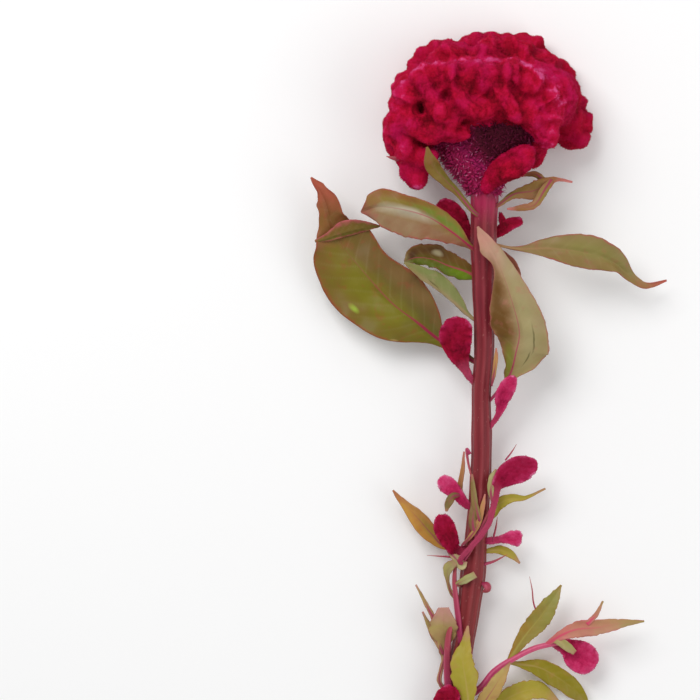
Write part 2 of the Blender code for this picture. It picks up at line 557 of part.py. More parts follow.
def strip_grid(strip):
    """Middle points, half thickness directions and columns of a waved strip."""
    rows, columns = strip.rows, strip.columns
    line = smooth(strip.midrib, rows)
    left = smooth(strip.left, rows)[:, 0]
    right = smooth(strip.right, rows)[:, 0]
    grid = []
    for i in range(rows):
        share = i / (rows - 1)
        along = Vector(line[min(i + 1, rows - 1)] - line[max(i - 1, 0)]).normalized()
        side = Vector((0, 0, 1)).cross(along).normalized()
        up = along.cross(side).normalized()
        row = []
        for j in range(columns + 1):
            s = 1 - 2 * j / columns
            width = (left[i] if s > 0 else right[i]) * abs(s)
            tilt = math.radians(strip.tilt[0] if s > 0 else strip.tilt[1])
            wave = strip.wave_height * math.sin(2 * math.pi * strip.waves * share + 1.3 * s) * s * s
            wave *= min(1.0, 4 * share) * min(1.0, max(left[i], right[i]) / 3)
            across = math.copysign(width, s) if s else 0.0
            row.append(
                Vector(line[i])
                + side * (across * math.cos(tilt))
                + up * (width * math.sin(tilt) + wave)
            )
        grid.append(row)
    return grid


def strip_solid(name, strip, thickness, rib, material=None):
    """A closed waved strip, with its midrib thicker and both faces split alike."""
    grid = strip_grid(strip)
    rows, columns = len(grid), len(grid[0])
    top, bottom = [], []
    for i in range(rows):
        for j in range(columns):
            along = grid[min(i + 1, rows - 1)][j] - grid[max(i - 1, 0)][j]
            across = grid[i][max(j - 1, 0)] - grid[i][min(j + 1, columns - 1)]
            normal = along.cross(across).normalized()
            if normal.z < 0:
                normal.negate()
            half = (rib if 2 * j == columns - 1 else thickness) / 2
            top.append(grid[i][j] + normal * half)
            bottom.append(grid[i][j] - normal * half)
    below = rows * columns
    faces = []
    for i in range(rows - 1):
        for j in range(columns - 1):
            a, b = i * columns + j, i * columns + j + 1
            c, d = a + columns, b + columns
            for tri in ((a, c, d), (a, d, b)) if 2 * j < columns - 1 else ((a, c, b), (b, c, d)):
                faces.append(tri)
                faces.append(tuple(below + k for k in reversed(tri)))
    rim = [j for j in range(columns)]
    rim += [i * columns + columns - 1 for i in range(1, rows)]
    rim += [(rows - 1) * columns + j for j in range(columns - 2, -1, -1)]
    rim += [i * columns for i in range(rows - 2, 0, -1)]
    for k, a in enumerate(rim):
        b = rim[(k + 1) % len(rim)]
        faces.append((a, b, below + b))
        faces.append((a, below + b, below + a))
    return mesh_object(name, top + bottom, faces, material)


def build_blade(blade):
    """One leaf, bract or comb, before it is seated on its carrier."""
    solids = [
        strip_solid(f"{blade.name}_{i}", strip, blade.thickness, blade.rib, blade.material)
        for i, strip in enumerate(blade.strips)
    ]
    if len(solids) > 1:
        return fused(blade.name, solids, blade.material)
    solids[0].name = blade.name
    return solids[0]


def shoot_rings(grow=0.0):
    """Rings of the side shoot's stalk."""
    line = smooth(SHOOT_PATH, SHOOT_STEPS)
    rings = []
    for i, (x, y, z, radius) in enumerate(line):
        along = Vector(line[min(i + 1, SHOOT_STEPS - 1)][:3] - line[max(i - 1, 0)][:3]).normalized()
        side = Vector((0, 0, 1)).cross(along).normalized()
        up = along.cross(side)
        past = along * grow if i == len(line) - 1 else Vector()
        ring = []
        for k in range(SHOOT_SIDES):
            turn = 2 * math.pi * k / SHOOT_SIDES
            r = radius + grow
            ring.append(Vector((x, y, z)) + past + side * (r * math.cos(turn)) + up * (r * math.sin(turn)))
        rings.append(ring)
    return rings


def floor_box():
    """A block under the surface, which cuts the flat spots that the stem rests on."""
    x, y = FLOOR_HALF
    low = [(-x, -y, -FLOOR_DEPTH), (x, -y, -FLOOR_DEPTH), (x, y, -FLOOR_DEPTH), (-x, y, -FLOOR_DEPTH)]
    high = [(px, py, 0.0) for px, py, _ in low]
    return as_cutter(ring_stack("floor_block", [low, high]))


def tree_of(made):
    """A search tree of an object's evaluated faces, in metres."""
    graph = bpy.context.evaluated_depsgraph_get()
    return BVHTree.FromObject(made, graph)


def build_crest(floor):
    """The velvet crest: folds and core in one body, with a socket for the floret bed."""
    pieces = [ring_stack(f"fold_{i}", fold_rings(fold)) for i, fold in enumerate(CREST_FOLDS)]
    crest = fused("crest", [crest_core(), *pieces], "crest_velvet")
    even = crest.modifiers.new("even", "REMESH")
    even.mode = "VOXEL"
    even.voxel_size = CREST_VOXEL * MM
    fewer = crest.modifiers.new("fewer", "DECIMATE")
    fewer.ratio = CREST_KEPT
    applied(crest)
    socket = ring_stack("bed_socket", [bed_ring(station, SEAT_GAP) for station in socket_stations()])
    cut(crest, as_cutter(socket))
    cut(crest, floor)
    return crest


def socket_stations():
    """The bed's stations with both ends moved out, so that the socket clears them."""
    first, last = BED_STATIONS[0], BED_STATIONS[-1]
    return [(first[0] - SEAT_GAP, *first[1:]), *BED_STATIONS[1:-1], (last[0] + SEAT_GAP, *last[1:])]


def floret_solid(place, out, index):
    """One pointed floret on the bed, its root sunk into it."""
    lean = Vector((math.sin(2.4 * index), math.cos(1.7 * index), math.sin(3.1 * index))) * 0.22
    out = (out + lean).normalized()
    side = out.orthogonal().normalized()
    up = out.cross(side)
    rings = []
    for along, radius in ((-1.0, 1.0), (FLORET_LENGTH, 0.22)):
        ring = []
        for k in range(4):
            turn = math.pi * k / 2 + index
            r = FLORET_RADIUS * radius
            ring.append(place + out * along + side * (r * math.cos(turn)) + up * (r * math.sin(turn)))
        rings.append(ring)
    return ring_stack(f"floret_{index}", rings)


def bed_surface():
    """Points over the bed's sides, about a floret apart, with the way out of the bed at each."""
    draw = random.Random(4)
    fine = smooth(BED_STATIONS, 60)
    last_y = BED_STATIONS[0][0]
    for i in range(2, 58):
        y, x, z, half_width, half_depth = fine[i]
        if y - last_y < FLORET_SPACING * 0.8 or y > 138:
            continue
        last_y = y
        around = math.pi * (half_width + half_depth)
        count = max(5, round(around / FLORET_SPACING))
        start = draw.random()
        for k in range(count):
            angle = 2 * math.pi * (k + start) / count
            place = Vector((x + half_width * math.cos(angle), y, z + half_depth * math.sin(angle)))
            out = Vector((math.cos(angle) / half_width, -0.018, math.sin(angle) / half_depth)).normalized()
            yield place, out


def room_at(trees, place):
    """How far a point is from the nearest of the objects, in millimetres."""
    found = [tree.find_nearest(place * MM, FLORET_LENGTH * 3 * MM)[3] for tree in trees]
    return min([distance / MM for distance in found if distance is not None], default=FLORET_LENGTH * 3)


def build_bed():
    """The bed with florets all over what the crest and the leaves leave bare."""
    around = [made for made in bpy.data.objects if not made.hide_render]
    trees = [tree_of(made) for made in around]
    pieces = [ring_stack("bed_body", [bed_ring(station) for station in BED_STATIONS])]
    for index, (place, out) in enumerate(bed_surface()):
        base, tip = place + out, place + out * FLORET_LENGTH
        clear = min(room_at(trees, base) - FLORET_RADIUS, room_at(trees, tip)) > FLORET_CLEARANCE
        if clear and not covered(trees, tip, out):
            pieces.append(floret_solid(place, out, index))
    return fused("floret_bed", pieces, "floret_purple")


def covered(trees, place, out):
    """Whether something lies close over a point, so that it can't be seen."""
    hits = [tree.ray_cast(place * MM, out, FLORET_LENGTH * 1.5 * MM)[0] for tree in trees]
    return any(hit is not None for hit in hits)


def shade(made):
    """Smooth shading with the hard edges kept."""
    if made.type == "MESH" and not made.hide_render:
        made.data.shade_smooth()
        made.data.set_sharp_from_angle(angle=math.radians(40))


def main():
    for old in list(bpy.data.objects):
        bpy.data.objects.remove(old)
    floor = floor_box()
    stem = ring_stack("stem", stem_rings(), "stem_skin")
    cut(stem, floor)
    stem_cutter = as_cutter(ring_stack("stem_cutter", stem_rings(SEAT_GAP)))
    shoot = ring_stack("shoot_right", shoot_rings(), "shoot_pink")
    cut(shoot, stem_cutter)
    shoot_cutter = as_cutter(ring_stack("shoot_cutter", shoot_rings(SEAT_GAP)))
    carriers = {"stem": stem_cutter, "shoot_right": shoot_cutter}
    build_crest(floor)
    for blade in BLADES:
        cut(build_blade(blade), carriers[blade.carrier])
    comb = next(b for b in BLADES if b.name == COMB_BRACT.carrier)
    grown = strip_solid("comb_cutter", comb.strips[0],
    comb.thickness + 2 * SEAT_GAP, comb.rib + 2 * SEAT_GAP)
    cut(build_blade(COMB_BRACT), as_cutter(grown))
    build_bed()
    for made in bpy.data.objects:
        shade(made)


main()
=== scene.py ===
"""The looks of a cut cockscomb celosia that lies on its back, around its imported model.

Lengths in this script are in millimetres until a mesh is made, and X, Y and Z are the frame's own.
"""

import logging
import math
from collections.abc import Iterable, Sequence
from dataclasses import dataclass, field
from enum import Enum

import bmesh
import bpy
import numpy as np
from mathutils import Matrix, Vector, noise


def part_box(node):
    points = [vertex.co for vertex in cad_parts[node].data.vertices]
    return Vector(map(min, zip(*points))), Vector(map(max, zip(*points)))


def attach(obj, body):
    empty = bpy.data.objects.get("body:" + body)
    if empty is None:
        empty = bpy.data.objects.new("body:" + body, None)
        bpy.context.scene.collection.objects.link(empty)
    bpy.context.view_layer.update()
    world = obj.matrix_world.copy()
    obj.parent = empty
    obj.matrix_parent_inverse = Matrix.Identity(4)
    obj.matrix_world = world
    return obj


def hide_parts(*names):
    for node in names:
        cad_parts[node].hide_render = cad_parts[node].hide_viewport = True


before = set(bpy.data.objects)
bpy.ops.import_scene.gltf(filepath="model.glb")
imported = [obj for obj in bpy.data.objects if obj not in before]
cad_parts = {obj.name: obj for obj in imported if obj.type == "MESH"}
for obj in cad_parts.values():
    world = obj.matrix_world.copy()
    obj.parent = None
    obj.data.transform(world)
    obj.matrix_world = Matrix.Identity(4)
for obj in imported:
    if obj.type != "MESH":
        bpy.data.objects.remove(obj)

LOG = logging.getLogger("celosia")
MM = 0.001
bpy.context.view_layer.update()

Colour = tuple[float, float, float, float]
Point = tuple[float, float, float]
Station = tuple[float, float, float, float]


def linear(code: str) -> Colour:
    """A colour for a shader's socket from its screen code.

    Args:
        code: six hexadecimal digits after a hash sign.

    Returns:
        The linear red, green and blue, and an alpha of 1.
    """
    parts = [int(code[i : i + 2], 16) / 255 for i in (1, 3, 5)]
    red, green, blue = [c / 12.92 if c <= 0.04045 else ((c + 0.055) / 1.055) ** 2.4 for c in parts]
    return (red, green, blue, 1.0)


def smooth(stations: Sequence, count: int) -> np.ndarray:
    """Points of an even curve through the stations, as a Catmull-Rom spline.

    Args:
        stations: the values that the curve goes through, one row each.
        count: how many rows to return.

    Returns:
        The rows along the curve.
    """
    given = np.array(stations, float)
    if given.ndim == 1:
        given = given[:, None]
    ends = np.vstack([2 * given[0] - given[1], given, 2 * given[-1] - given[-2]])
    spans = len(given) - 1
    place = np.linspace(0, spans, count)
    i = np.minimum(place.astype(int), spans - 1)
    t = (place - i)[:, None]
    a, b, c, d = ends[i], ends[i + 1], ends[i + 2], ends[i + 3]
    return 0.5 * (2 * b + (c - a) * t + (2 * a - 5 * b + 4 * c - d) * t**2 + (3 * b - a - 3 * c + d) * t**3)


def fractal(points: np.ndarray, size: float, octaves: int = 3, shift: float = 0.0) -> np.ndarray:
    """Noise of a size from about -1 to 1 at each point, whose pattern the shift moves."""
    moved = Vector((shift, 0, 0))
    return np.array([noise.fractal(Vector(p) / size + moved, 1.0, 2.0, octaves) for p in points])


def linked(name: str, data: bpy.types.ID) -> bpy.types.Object:
    """Puts a new object into the scene.

    Args:
        name: the object's name.
        data: its mesh, camera or light.

    Returns:
        The object.
    """
    made = bpy.data.objects.new(name, data)
    bpy.context.scene.collection.objects.link(made)
    return made


def put_values(mesh: bpy.types.Mesh, name: str, values: np.ndarray) -> None:
    """Gives the corners of a mesh a named value."""
    layer = mesh.attributes.new(name, "FLOAT", "POINT")
    layer.data.foreach_set("value", values.astype(np.float32))


def put_points(mesh: bpy.types.Mesh, points: np.ndarray) -> None:
    """Moves the corners of a mesh to new points, in millimetres."""
    mesh.vertices.foreach_set("co", (points * MM).ravel())
    mesh.update()


def box_of(node: str) -> list[np.ndarray]:
    """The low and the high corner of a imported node's box, in millimetres."""
    return [np.array(corner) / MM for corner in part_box(node)]


def frame_of(line: np.ndarray, lift: Point) -> tuple[np.ndarray, np.ndarray]:
    """The ways to the side of a line and up from it.

    Args:
        line: its points.
        lift: roughly the way up.

    Returns:
        Two unit vectors for each point.
    """
    along = np.gradient(line, axis=0)
    along /= np.linalg.norm(along, axis=1)[:, None]
    side = np.cross(lift, along)
    side /= np.linalg.norm(side, axis=1)[:, None]
    return side, np.cross(along, side)


class Mesh:
    """Points, faces and named values of one piece, in millimetres."""

    def __init__(self) -> None:
        """Starts an empty mesh."""
        self.points: list[np.ndarray] = []
        self.faces: list[tuple[int, ...]] = []
        self.values: dict[str, list[np.ndarray]] = {}
        self.count = 0

    def add(self, points: np.ndarray, faces: Iterable[Sequence[int]], **values: np.ndarray) -> None:
        """Adds one shell.

        Args:
            points: its corners.
            faces: its faces, by corner.
            values: named values at its corners.
        """
        self.faces += [tuple(int(k) + self.count for k in face) for face in faces]
        self.points.append(points)
        for name, value in values.items():
            self.values.setdefault(name, []).append(value)
        self.count += len(points)

    def build(self, name: str) -> bpy.types.Object:
        """Makes the scene's object.

        Args:
            name: the object's name.

        Returns:
            The object, smooth and with its faces outwards.
        """
        mesh = bpy.data.meshes.new(name)
        mesh.from_pydata((np.concatenate(self.points) * MM).tolist(), [], self.faces)
        for key, parts in self.values.items():
            put_values(mesh, key, np.concatenate(parts))
        work = bmesh.new()
        work.from_mesh(mesh)
        bmesh.ops.recalc_face_normals(work, faces=work.faces)
        work.to_mesh(mesh)
        work.free()
        mesh.shade_smooth()
        return linked(name, mesh)


def ring_faces(rows: int, sides: int) -> list[tuple[int, ...]]:
    """The faces of a closed tube of rings.

    Args:
        rows: how many rings.
        sides: how many corners each has.

    Returns:
        The faces, with one cap at each end.
    """
    faces = [
        (r * sides + i, r * sides + (i + 1) % sides, (r + 1) * sides + (i + 1) % sides, (r + 1) * sides + i)
        for r in range(rows - 1)
        for i in range(sides)
    ]
    last = (rows - 1) * sides
    return [*faces, tuple(range(sides)), tuple(last + i for i in range(sides))]


def evaluated(made: bpy.types.Object) -> bpy.types.Mesh:
    """The plain mesh that an object's modifiers give, after which they are removed.

    Args:
        made: the object.

    Returns:
        The new mesh, which the object then has.
    """
    graph = bpy.context.evaluated_depsgraph_get()
    result = made.evaluated_get(graph)
    mesh = bpy.data.meshes.new_from_object(result, preserve_all_data_layers=True, depsgraph=graph)
    made.modifiers.clear()
    made.data = mesh
    return mesh


def coordinates(mesh: bpy.types.Mesh) -> np.ndarray:
    """The corners of a mesh.

    Args:
        mesh: the mesh.

    Returns:
        One row for each corner, in millimetres.
    """
    flat = np.empty(len(mesh.vertices) * 3)
    mesh.vertices.foreach_get("co", flat)
    return flat.reshape(-1, 3) / MM


def normals(mesh: bpy.types.Mesh) -> np.ndarray:
    """The ways out of a mesh.

    Args:
        mesh: the mesh.

    Returns:
        A unit vector for each corner.
    """
    flat = np.empty(len(mesh.vertices) * 3, np.float32)
    mesh.vertex_normals.foreach_get("vector", flat)
    return flat.reshape(-1, 3)


def evened(mesh: bpy.types.Mesh, points: np.ndarray, rounds: int) -> np.ndarray:
    """Values at a mesh's corners, each moved towards its neighbours' mean some rounds over.

    Args:
        mesh: gives the edges.
        points: the values, one row for each corner.
        rounds: how many times they are averaged.

    Returns:
        The evened values.
    """
    ends = np.empty(len(mesh.edges) * 2, int)
    mesh.edges.foreach_get("vertices", ends)
    a, b = ends.reshape(-1, 2).T
    count = len(points)
    share = np.maximum(np.bincount(a, minlength=count) + np.bincount(b, minlength=count), 1)[:, None]
    for _ in range(rounds):
        sums = [np.bincount(a, column[b], count) + np.bincount(b, column[a], count) for column in points.T]
        points = 0.4 * points + 0.6 * np.stack(sums, axis=1) / share
    return points


class NodeKit:
    """A short way to add nodes to a tree and join them."""

    def __init__(self, tree: bpy.types.NodeTree) -> None:
        """Works on one tree, a shader's or a modifier's."""
        self.tree = tree

    def put(self, node: bpy.types.Node, **inputs: object) -> None:
        """Sets inputs of a node.

        Args:
            node: the node.
            inputs: a value or another node's output for each, by name with _ for a space.
        """
        for name, value in inputs.items():
            self.join(node.inputs[name.replace("_", " ")], value)

    def join(self, socket: bpy.types.NodeSocket, value: object) -> None:
        """Gives an input a value or another node's output.

        Args:
            socket: the input.
            value: the value or the output.
        """
        if isinstance(value, bpy.types.NodeSocket):
            self.tree.links.new(value, socket)
        else:
            socket.default_value = value

    def add(self, kind: str, inputs: dict | None = None, **settings: object) -> bpy.types.Node:
        """Adds one node.

        Args:
            kind: the node's type name.
            inputs: a value or another node's output for each input, by name or index.
            settings: the node's own properties.

        Returns:
            The node.
        """
        node = self.tree.nodes.new(kind)
        for name, value in settings.items():
            setattr(node, name, value)
        for key, value in (inputs or {}).items():
            self.join(node.inputs[key], value)
        return node

    def math(self, operation: str, *values: object, clamp: bool = False) -> bpy.types.NodeSocket:
        """The result of a Math node's operation on up to three numbers or outputs."""
        node = self.add("ShaderNodeMath", dict(enumerate(values)), operation=operation, use_clamp=clamp)
        return node.outputs[0]

    def times(self, first: object, second: object, clamp: bool = False) -> bpy.types.NodeSocket:
        """The product of two numbers or outputs."""
        return self.math("MULTIPLY", first, second, clamp=clamp)

    def plus(self, first: object, second: object, clamp: bool = False) -> bpy.types.NodeSocket:
        """The sum of two numbers or outputs."""
        return self.math("ADD", first, second, clamp=clamp)

    def value(self, name: str) -> bpy.types.NodeSocket:
        """A named value of the mesh, as a shader's output."""
        return self.add("ShaderNodeAttribute", attribute_name=name).outputs["Fac"]

    def blend(self, share: object, first: object, second: object) -> bpy.types.NodeSocket:
        """A colour between two: a share of 0 gives the first and 1 the second."""
        return self.add("ShaderNodeMix", {0: share, 6: first, 7: second}, data_type="RGBA").outputs[2]

    def tint(self, colour: object, code: str, share: object, most: float = 1.0) -> bpy.types.NodeSocket:
        """A colour mixed with that of a screen code, by the share times the most."""
        return self.blend(self.times(share, most), colour, linear(code))

    def ramp(self, share: object, stops: Sequence[tuple[float, str]]) -> bpy.types.NodeSocket:
        """A colour from a ramp.

        Args:
            share: where on the ramp, from 0 to 1.
            stops: the place and the screen code of each colour.

        Returns:
            The output socket.
        """
        node = self.add("ShaderNodeValToRGB", {0: share})
        bar = node.color_ramp.elements
        while len(bar) < len(stops):
            bar.new(1.0)
        for element, (place, code) in zip(bar, stops):
            element.position = place
            element.color = linear(code)
        return node.outputs[0]

    def grain(self, size: float, detail: float = 2.0, stretch: Point = (1, 1, 1)) -> bpy.types.NodeSocket:
        """Noise in the object's own coordinates.

        Args:
            size: how wide its swells are, in millimetres.
            detail: how many finer layers it has.
            stretch: scales the coordinates first.

        Returns:
            The output socket.
        """
        place = self.add("ShaderNodeTexCoord").outputs["Object"]
        turned = self.add("ShaderNodeMapping", {"Vector": place, "Scale": stretch}).outputs[0]
        made = self.add("ShaderNodeTexNoise", {"Vector": turned, "Scale": 1 / (size * MM), "Detail": detail})
        return made.outputs[0]

    def sway(self, reach: float, size: float, *grain: object) -> bpy.types.NodeSocket:
        """Noise as grain makes it, from minus to plus half the reach."""
        return self.math("MULTIPLY_ADD", self.grain(size, *grain), reach, -reach / 2)

    def span(self, value: object, low: float, high: float) -> bpy.types.NodeSocket:
        """A value taken from low to high onto 0 to 1."""
        return self.add("ShaderNodeMapRange", {0: value, 1: low, 2: high, 3: 0.0, 4: 1.0}).outputs[0]

    def bump(self, height: object, depth: float, strength: float) -> bpy.types.NodeSocket:
        """A normal from a height, whose 1 is the depth in millimetres from its 0."""
        node = self.add("ShaderNodeBump", {"Height": height, "Distance": depth * MM, "Strength": strength})
        return node.outputs[0]

    def marked(self, geometry: object, name: str, value: object) -> bpy.types.NodeSocket:
        """Gives the points of a geometry a named value.

        Args:
            geometry: the output that gives the geometry.
            name: the value's name.
            value: the value or the output that gives it.

        Returns:
            The output socket.
        """
        inputs = {"Geometry": geometry, "Name": name, "Value": value}
        node = self.add("GeometryNodeStoreNamedAttribute", inputs, data_type="FLOAT", domain="POINT")
        return node.outputs[0]

    def end(self, geometry: object, material: object) -> None:
        """Ends a tree of Geometry Nodes with plain geometry and its material.

        Args:
            geometry: the output that gives the geometry.
            material: the output that gives the material.
        """
        real = self.add("GeometryNodeRealizeInstances", {0: geometry}).outputs[0]
        dressed = self.add("GeometryNodeSetMaterial", {"Geometry": real, "Material": material})
        self.add("NodeGroupOutput", {0: dressed.outputs[0]})


class Growing:
    """A tree of Geometry Nodes with named inputs and one result."""

    def __init__(self, name: str, inputs: dict[str, str]) -> None:
        """Starts the tree.

        Args:
            name: its name.
            inputs: the kind of each named input, such as Float. The first is the geometry it works on.
        """
        tree = bpy.data.node_groups.new(name, "GeometryNodeTree")
        for label, kind in inputs.items():
            tree.interface.new_socket(label, in_out="INPUT", socket_type="NodeSocket" + kind)
        tree.interface.new_socket("Result", in_out="OUTPUT", socket_type="NodeSocketGeometry")
        items = tree.interface.items_tree
        self.sockets = {item.name: item.identifier for item in items if item.in_out == "INPUT"}
        self.kit = NodeKit(tree)
        self.given = self.kit.add("NodeGroupInput").outputs

    def run(self, made: bpy.types.Object, inputs: dict[str, object]) -> bpy.types.Mesh:
        """Runs the tree on an object.

        Args:
            made: the object, which then has the result as its mesh.
            inputs: the named inputs.

        Returns:
            The new mesh.
        """
        modifier = made.modifiers.new("growing", "NODES")
        modifier.node_group = self.kit.tree
        for label, value in inputs.items():
            modifier[self.sockets[label]] = value
        return evaluated(made)


def shader_of(name: str) -> tuple[bpy.types.Material, NodeKit, bpy.types.Node]:
    """A new material with its kit and its shader.

    Args:
        name: the material's name.

    Returns:
        The material, a kit on its tree and its Principled shader.
    """
    made = bpy.data.materials.new(name)
    made.use_nodes = True
    return made, NodeKit(made.node_tree), made.node_tree.nodes["Principled BSDF"]


@dataclass(frozen=True)
class VelvetFinish:
    """Velvet tissue: creases darkened by painted shade, ridges and rims turned pink partly by painted
    highlight, with a soft sheen.
    """

    name: str
    # the crease and hollow colours are painted shade; the ridge and edge colours are partly painted
    # highlight
    crease_shade: str = "#36000a"
    hollow_shade: str = "#7c0219"
    face: str = "#b2052e"
    ridge: str = "#c6124a"
    edge: str = "#dc5590"
    flush: str = "#b40e56"
    stalk: str = "#b04462"
    sheen: float = 0.06

    def material(self) -> bpy.types.Material:
        """The finish as a material, which reads the values rise, stalk, fleck and tip.

        Returns:
            The material.
        """
        made, kit, shader = shader_of(self.name)
        rise = kit.value("rise")
        place = kit.plus(kit.plus(rise, kit.sway(0.34, 8.0, 3.0)), kit.sway(0.36, 0.9), clamp=True)
        # A ramp from painted shade in the creases through the velvet's crimson to pink on ridges and rims,
        # partly painted highlight.
        colours = (self.crease_shade, self.hollow_shade, self.face, self.ridge, self.edge)
        stops = list(zip((0.0, 0.24, 0.48, 0.74, 1.0), colours))
        tinted = kit.times(kit.span(kit.grain(15.0), 0.45, 0.62), kit.span(place, 0.2, 0.6))
        colour = kit.tint(kit.ramp(place, stops), self.flush, tinted, 0.45)
        colour = kit.tint(colour, self.stalk, kit.value("stalk"), 0.85)
        # Painted highlight: papilla tips on the lightest skin take the pale edge colour.
        light = kit.times(kit.value("tip"), kit.span(rise, 0.45, 0.95))
        colour = kit.tint(colour, self.edge, kit.times(light, kit.span(kit.value("fleck"), 0.35, 0.9)), 0.6)
        kit.put(
            shader, Base_Color=colour, Roughness=0.8, Specular_IOR_Level=0.1, Sheen_Weight=self.sheen,
            Sheen_Roughness=0.4, Sheen_Tint=linear("#e0307a"), Normal=kit.bump(kit.grain(0.7), 0.25, 0.5),
        )
        return made


@dataclass(frozen=True)
class FloretFinish:
    """Papery florets: near black in the middle of the field, crimson purple around it, with pale tips,
    painted shade at their feet and painted glints on a few tips.
    """

    name: str
    heart: str = "#4e0820"
    middle: str = "#7a0e38"
    outer: str = "#a01a58"
    neck: str = "#aa1e54"
    # the colour of painted glints on a few floret tips
    pale: str = "#dc98b8"
    tip: str = "#c03a80"
    # the colour of the painted shade at the florets' feet
    foot: str = "#2a0210"

    def material(self) -> bpy.types.Material:
        """The finish as a material, which reads the values spread, fleck and tip.

        Returns:
            The material.
        """
        made, kit, shader = shader_of(self.name)
        tip, fleck = kit.value("tip"), kit.value("fleck")
        spread = kit.plus(kit.value("spread"), kit.sway(0.5, 4.0, 3.0), clamp=True)
        colours = (self.heart, self.heart, self.middle, self.outer, self.neck)
        stops = list(zip((0.0, 0.3, 0.55, 0.8, 1.0), colours))
        tipped = kit.times(kit.span(tip, 0.4, 1.0), kit.span(spread, -0.3, 1.0))
        colour = kit.tint(kit.ramp(spread, stops), self.tip, tipped, 0.6)
        # Painted shade at the foot of each floret, where it meets the bed.
        foot = kit.times(kit.span(tip, 0.3, 0.02), kit.span(fleck, 0.01, 0.02))
        colour = kit.tint(colour, self.foot, foot, 0.7)
        # Painted glints: a few floret tips take the pale colour.
        chosen = kit.times(kit.span(fleck, 0.74, 0.8), kit.span(tip, 0.45, 0.8))
        colour = kit.tint(colour, self.pale, kit.times(chosen, kit.span(spread, 0.35, 0.7)), 0.75)
        kit.put(shader, Base_Color=colour, Roughness=0.6, Specular_IOR_Level=0.12)
        return made


@dataclass(frozen=True)
class Patch:
    """A soft patch of another colour on a blade: where it is, along and across, and how far it reaches."""

    colour: str
    along: float
    across: float
    reach_along: float
    reach_across: float
    share: float = 0.8


@dataclass(frozen=True)
class LeafFinish:
    """A leaf blade whose colour changes from stalk to tip and from half to half."""

    name: str
    near_left: str
    near_right: str
    far_left: str
    far_right: str
    tip: str = "#a8705c"
    margin: str = "#a04c4c"
    rib: str = "#9c3a56"
    rib_end: float = 0.75
    tip_start: float = 0.82
    vein: float = 0.14
    margin_width: float = 0.07
    patches: tuple[Patch, ...] = ()

    def _patched(self, kit: NodeKit, colour: bpy.types.NodeSocket, sway: object) -> bpy.types.NodeSocket:
        """Lays the patches over a colour.

        Args:
            kit: works on the material's tree.
            colour: the colour below.
            sway: an uneven value that frays the patches.

        Returns:
            The colour with its patches.
        """
        for patch in self.patches:
            a = kit.math("SUBTRACT", kit.value("along"), patch.along)
            b = kit.math("SUBTRACT", kit.value("across"), patch.across)
            a, b = kit.math("DIVIDE", a, patch.reach_along), kit.math("DIVIDE", b, patch.reach_across)
            away = kit.math("SQRT", kit.plus(kit.times(a, a), kit.times(b, b)))
            colour = kit.tint(colour, patch.colour, kit.span(kit.plus(away, sway), 1.25, 0.35), patch.share)
        return colour

    def material(self) -> bpy.types.Material:
        """The finish as a material, which reads the values along, across, vein and rib.

        Returns:
            The material.
        """
        made, kit, shader = shader_of(self.name)
        sway = kit.sway(0.9, 9.0, 4.0)
        along, across = kit.value("along"), kit.value("across")
        half = kit.span(kit.plus(across, kit.times(sway, 0.5)), -0.45, 0.45)
        near = kit.blend(half, linear(self.near_left), linear(self.near_right))
        far = kit.blend(half, linear(self.far_left), linear(self.far_right))
        colour = self._patched(kit, kit.blend(kit.plus(along, sway, clamp=True), near, far), sway)
        colour = kit.blend(kit.times(kit.grain(2.2, 4.0), 0.3), colour, kit.tint(colour, "#3a2a14", 0.35))
        spotted = kit.span(kit.grain(5.0, 4.0), 0.56, 0.8)
        colour = kit.blend(spotted, colour, kit.tint(colour, self.margin, 0.4))
        veined = kit.times(kit.value("vein"), self.vein, clamp=True)
        colour = kit.blend(veined, colour, kit.tint(colour, "#c8b98c", 0.4))
        ended = kit.span(kit.plus(along, kit.times(sway, 0.4)), self.tip_start, 1.0)
        colour = kit.tint(colour, self.tip, ended)
        out = kit.plus(kit.math("ABSOLUTE", across), kit.sway(self.margin_width * 2, 3.0, 3.0))
        edge = kit.span(out, 1.0 - self.margin_width, 1.0 + self.margin_width * 0.3)
        colour = kit.tint(colour, self.margin, edge, 0.8)
        fading = kit.math("MULTIPLY_ADD", kit.span(along, self.rib_end, self.rib_end - 0.45), 0.85, 0.1)
        colour = kit.tint(colour, self.rib, kit.times(kit.span(kit.value("rib"), 0.35, 0.9), fading))
        bumps = kit.bump(kit.grain(0.8, 3.0), 0.1, 0.4)
        kit.put(shader, Base_Color=colour, Roughness=0.42, Specular_IOR_Level=0.18, Normal=bumps)
        return made


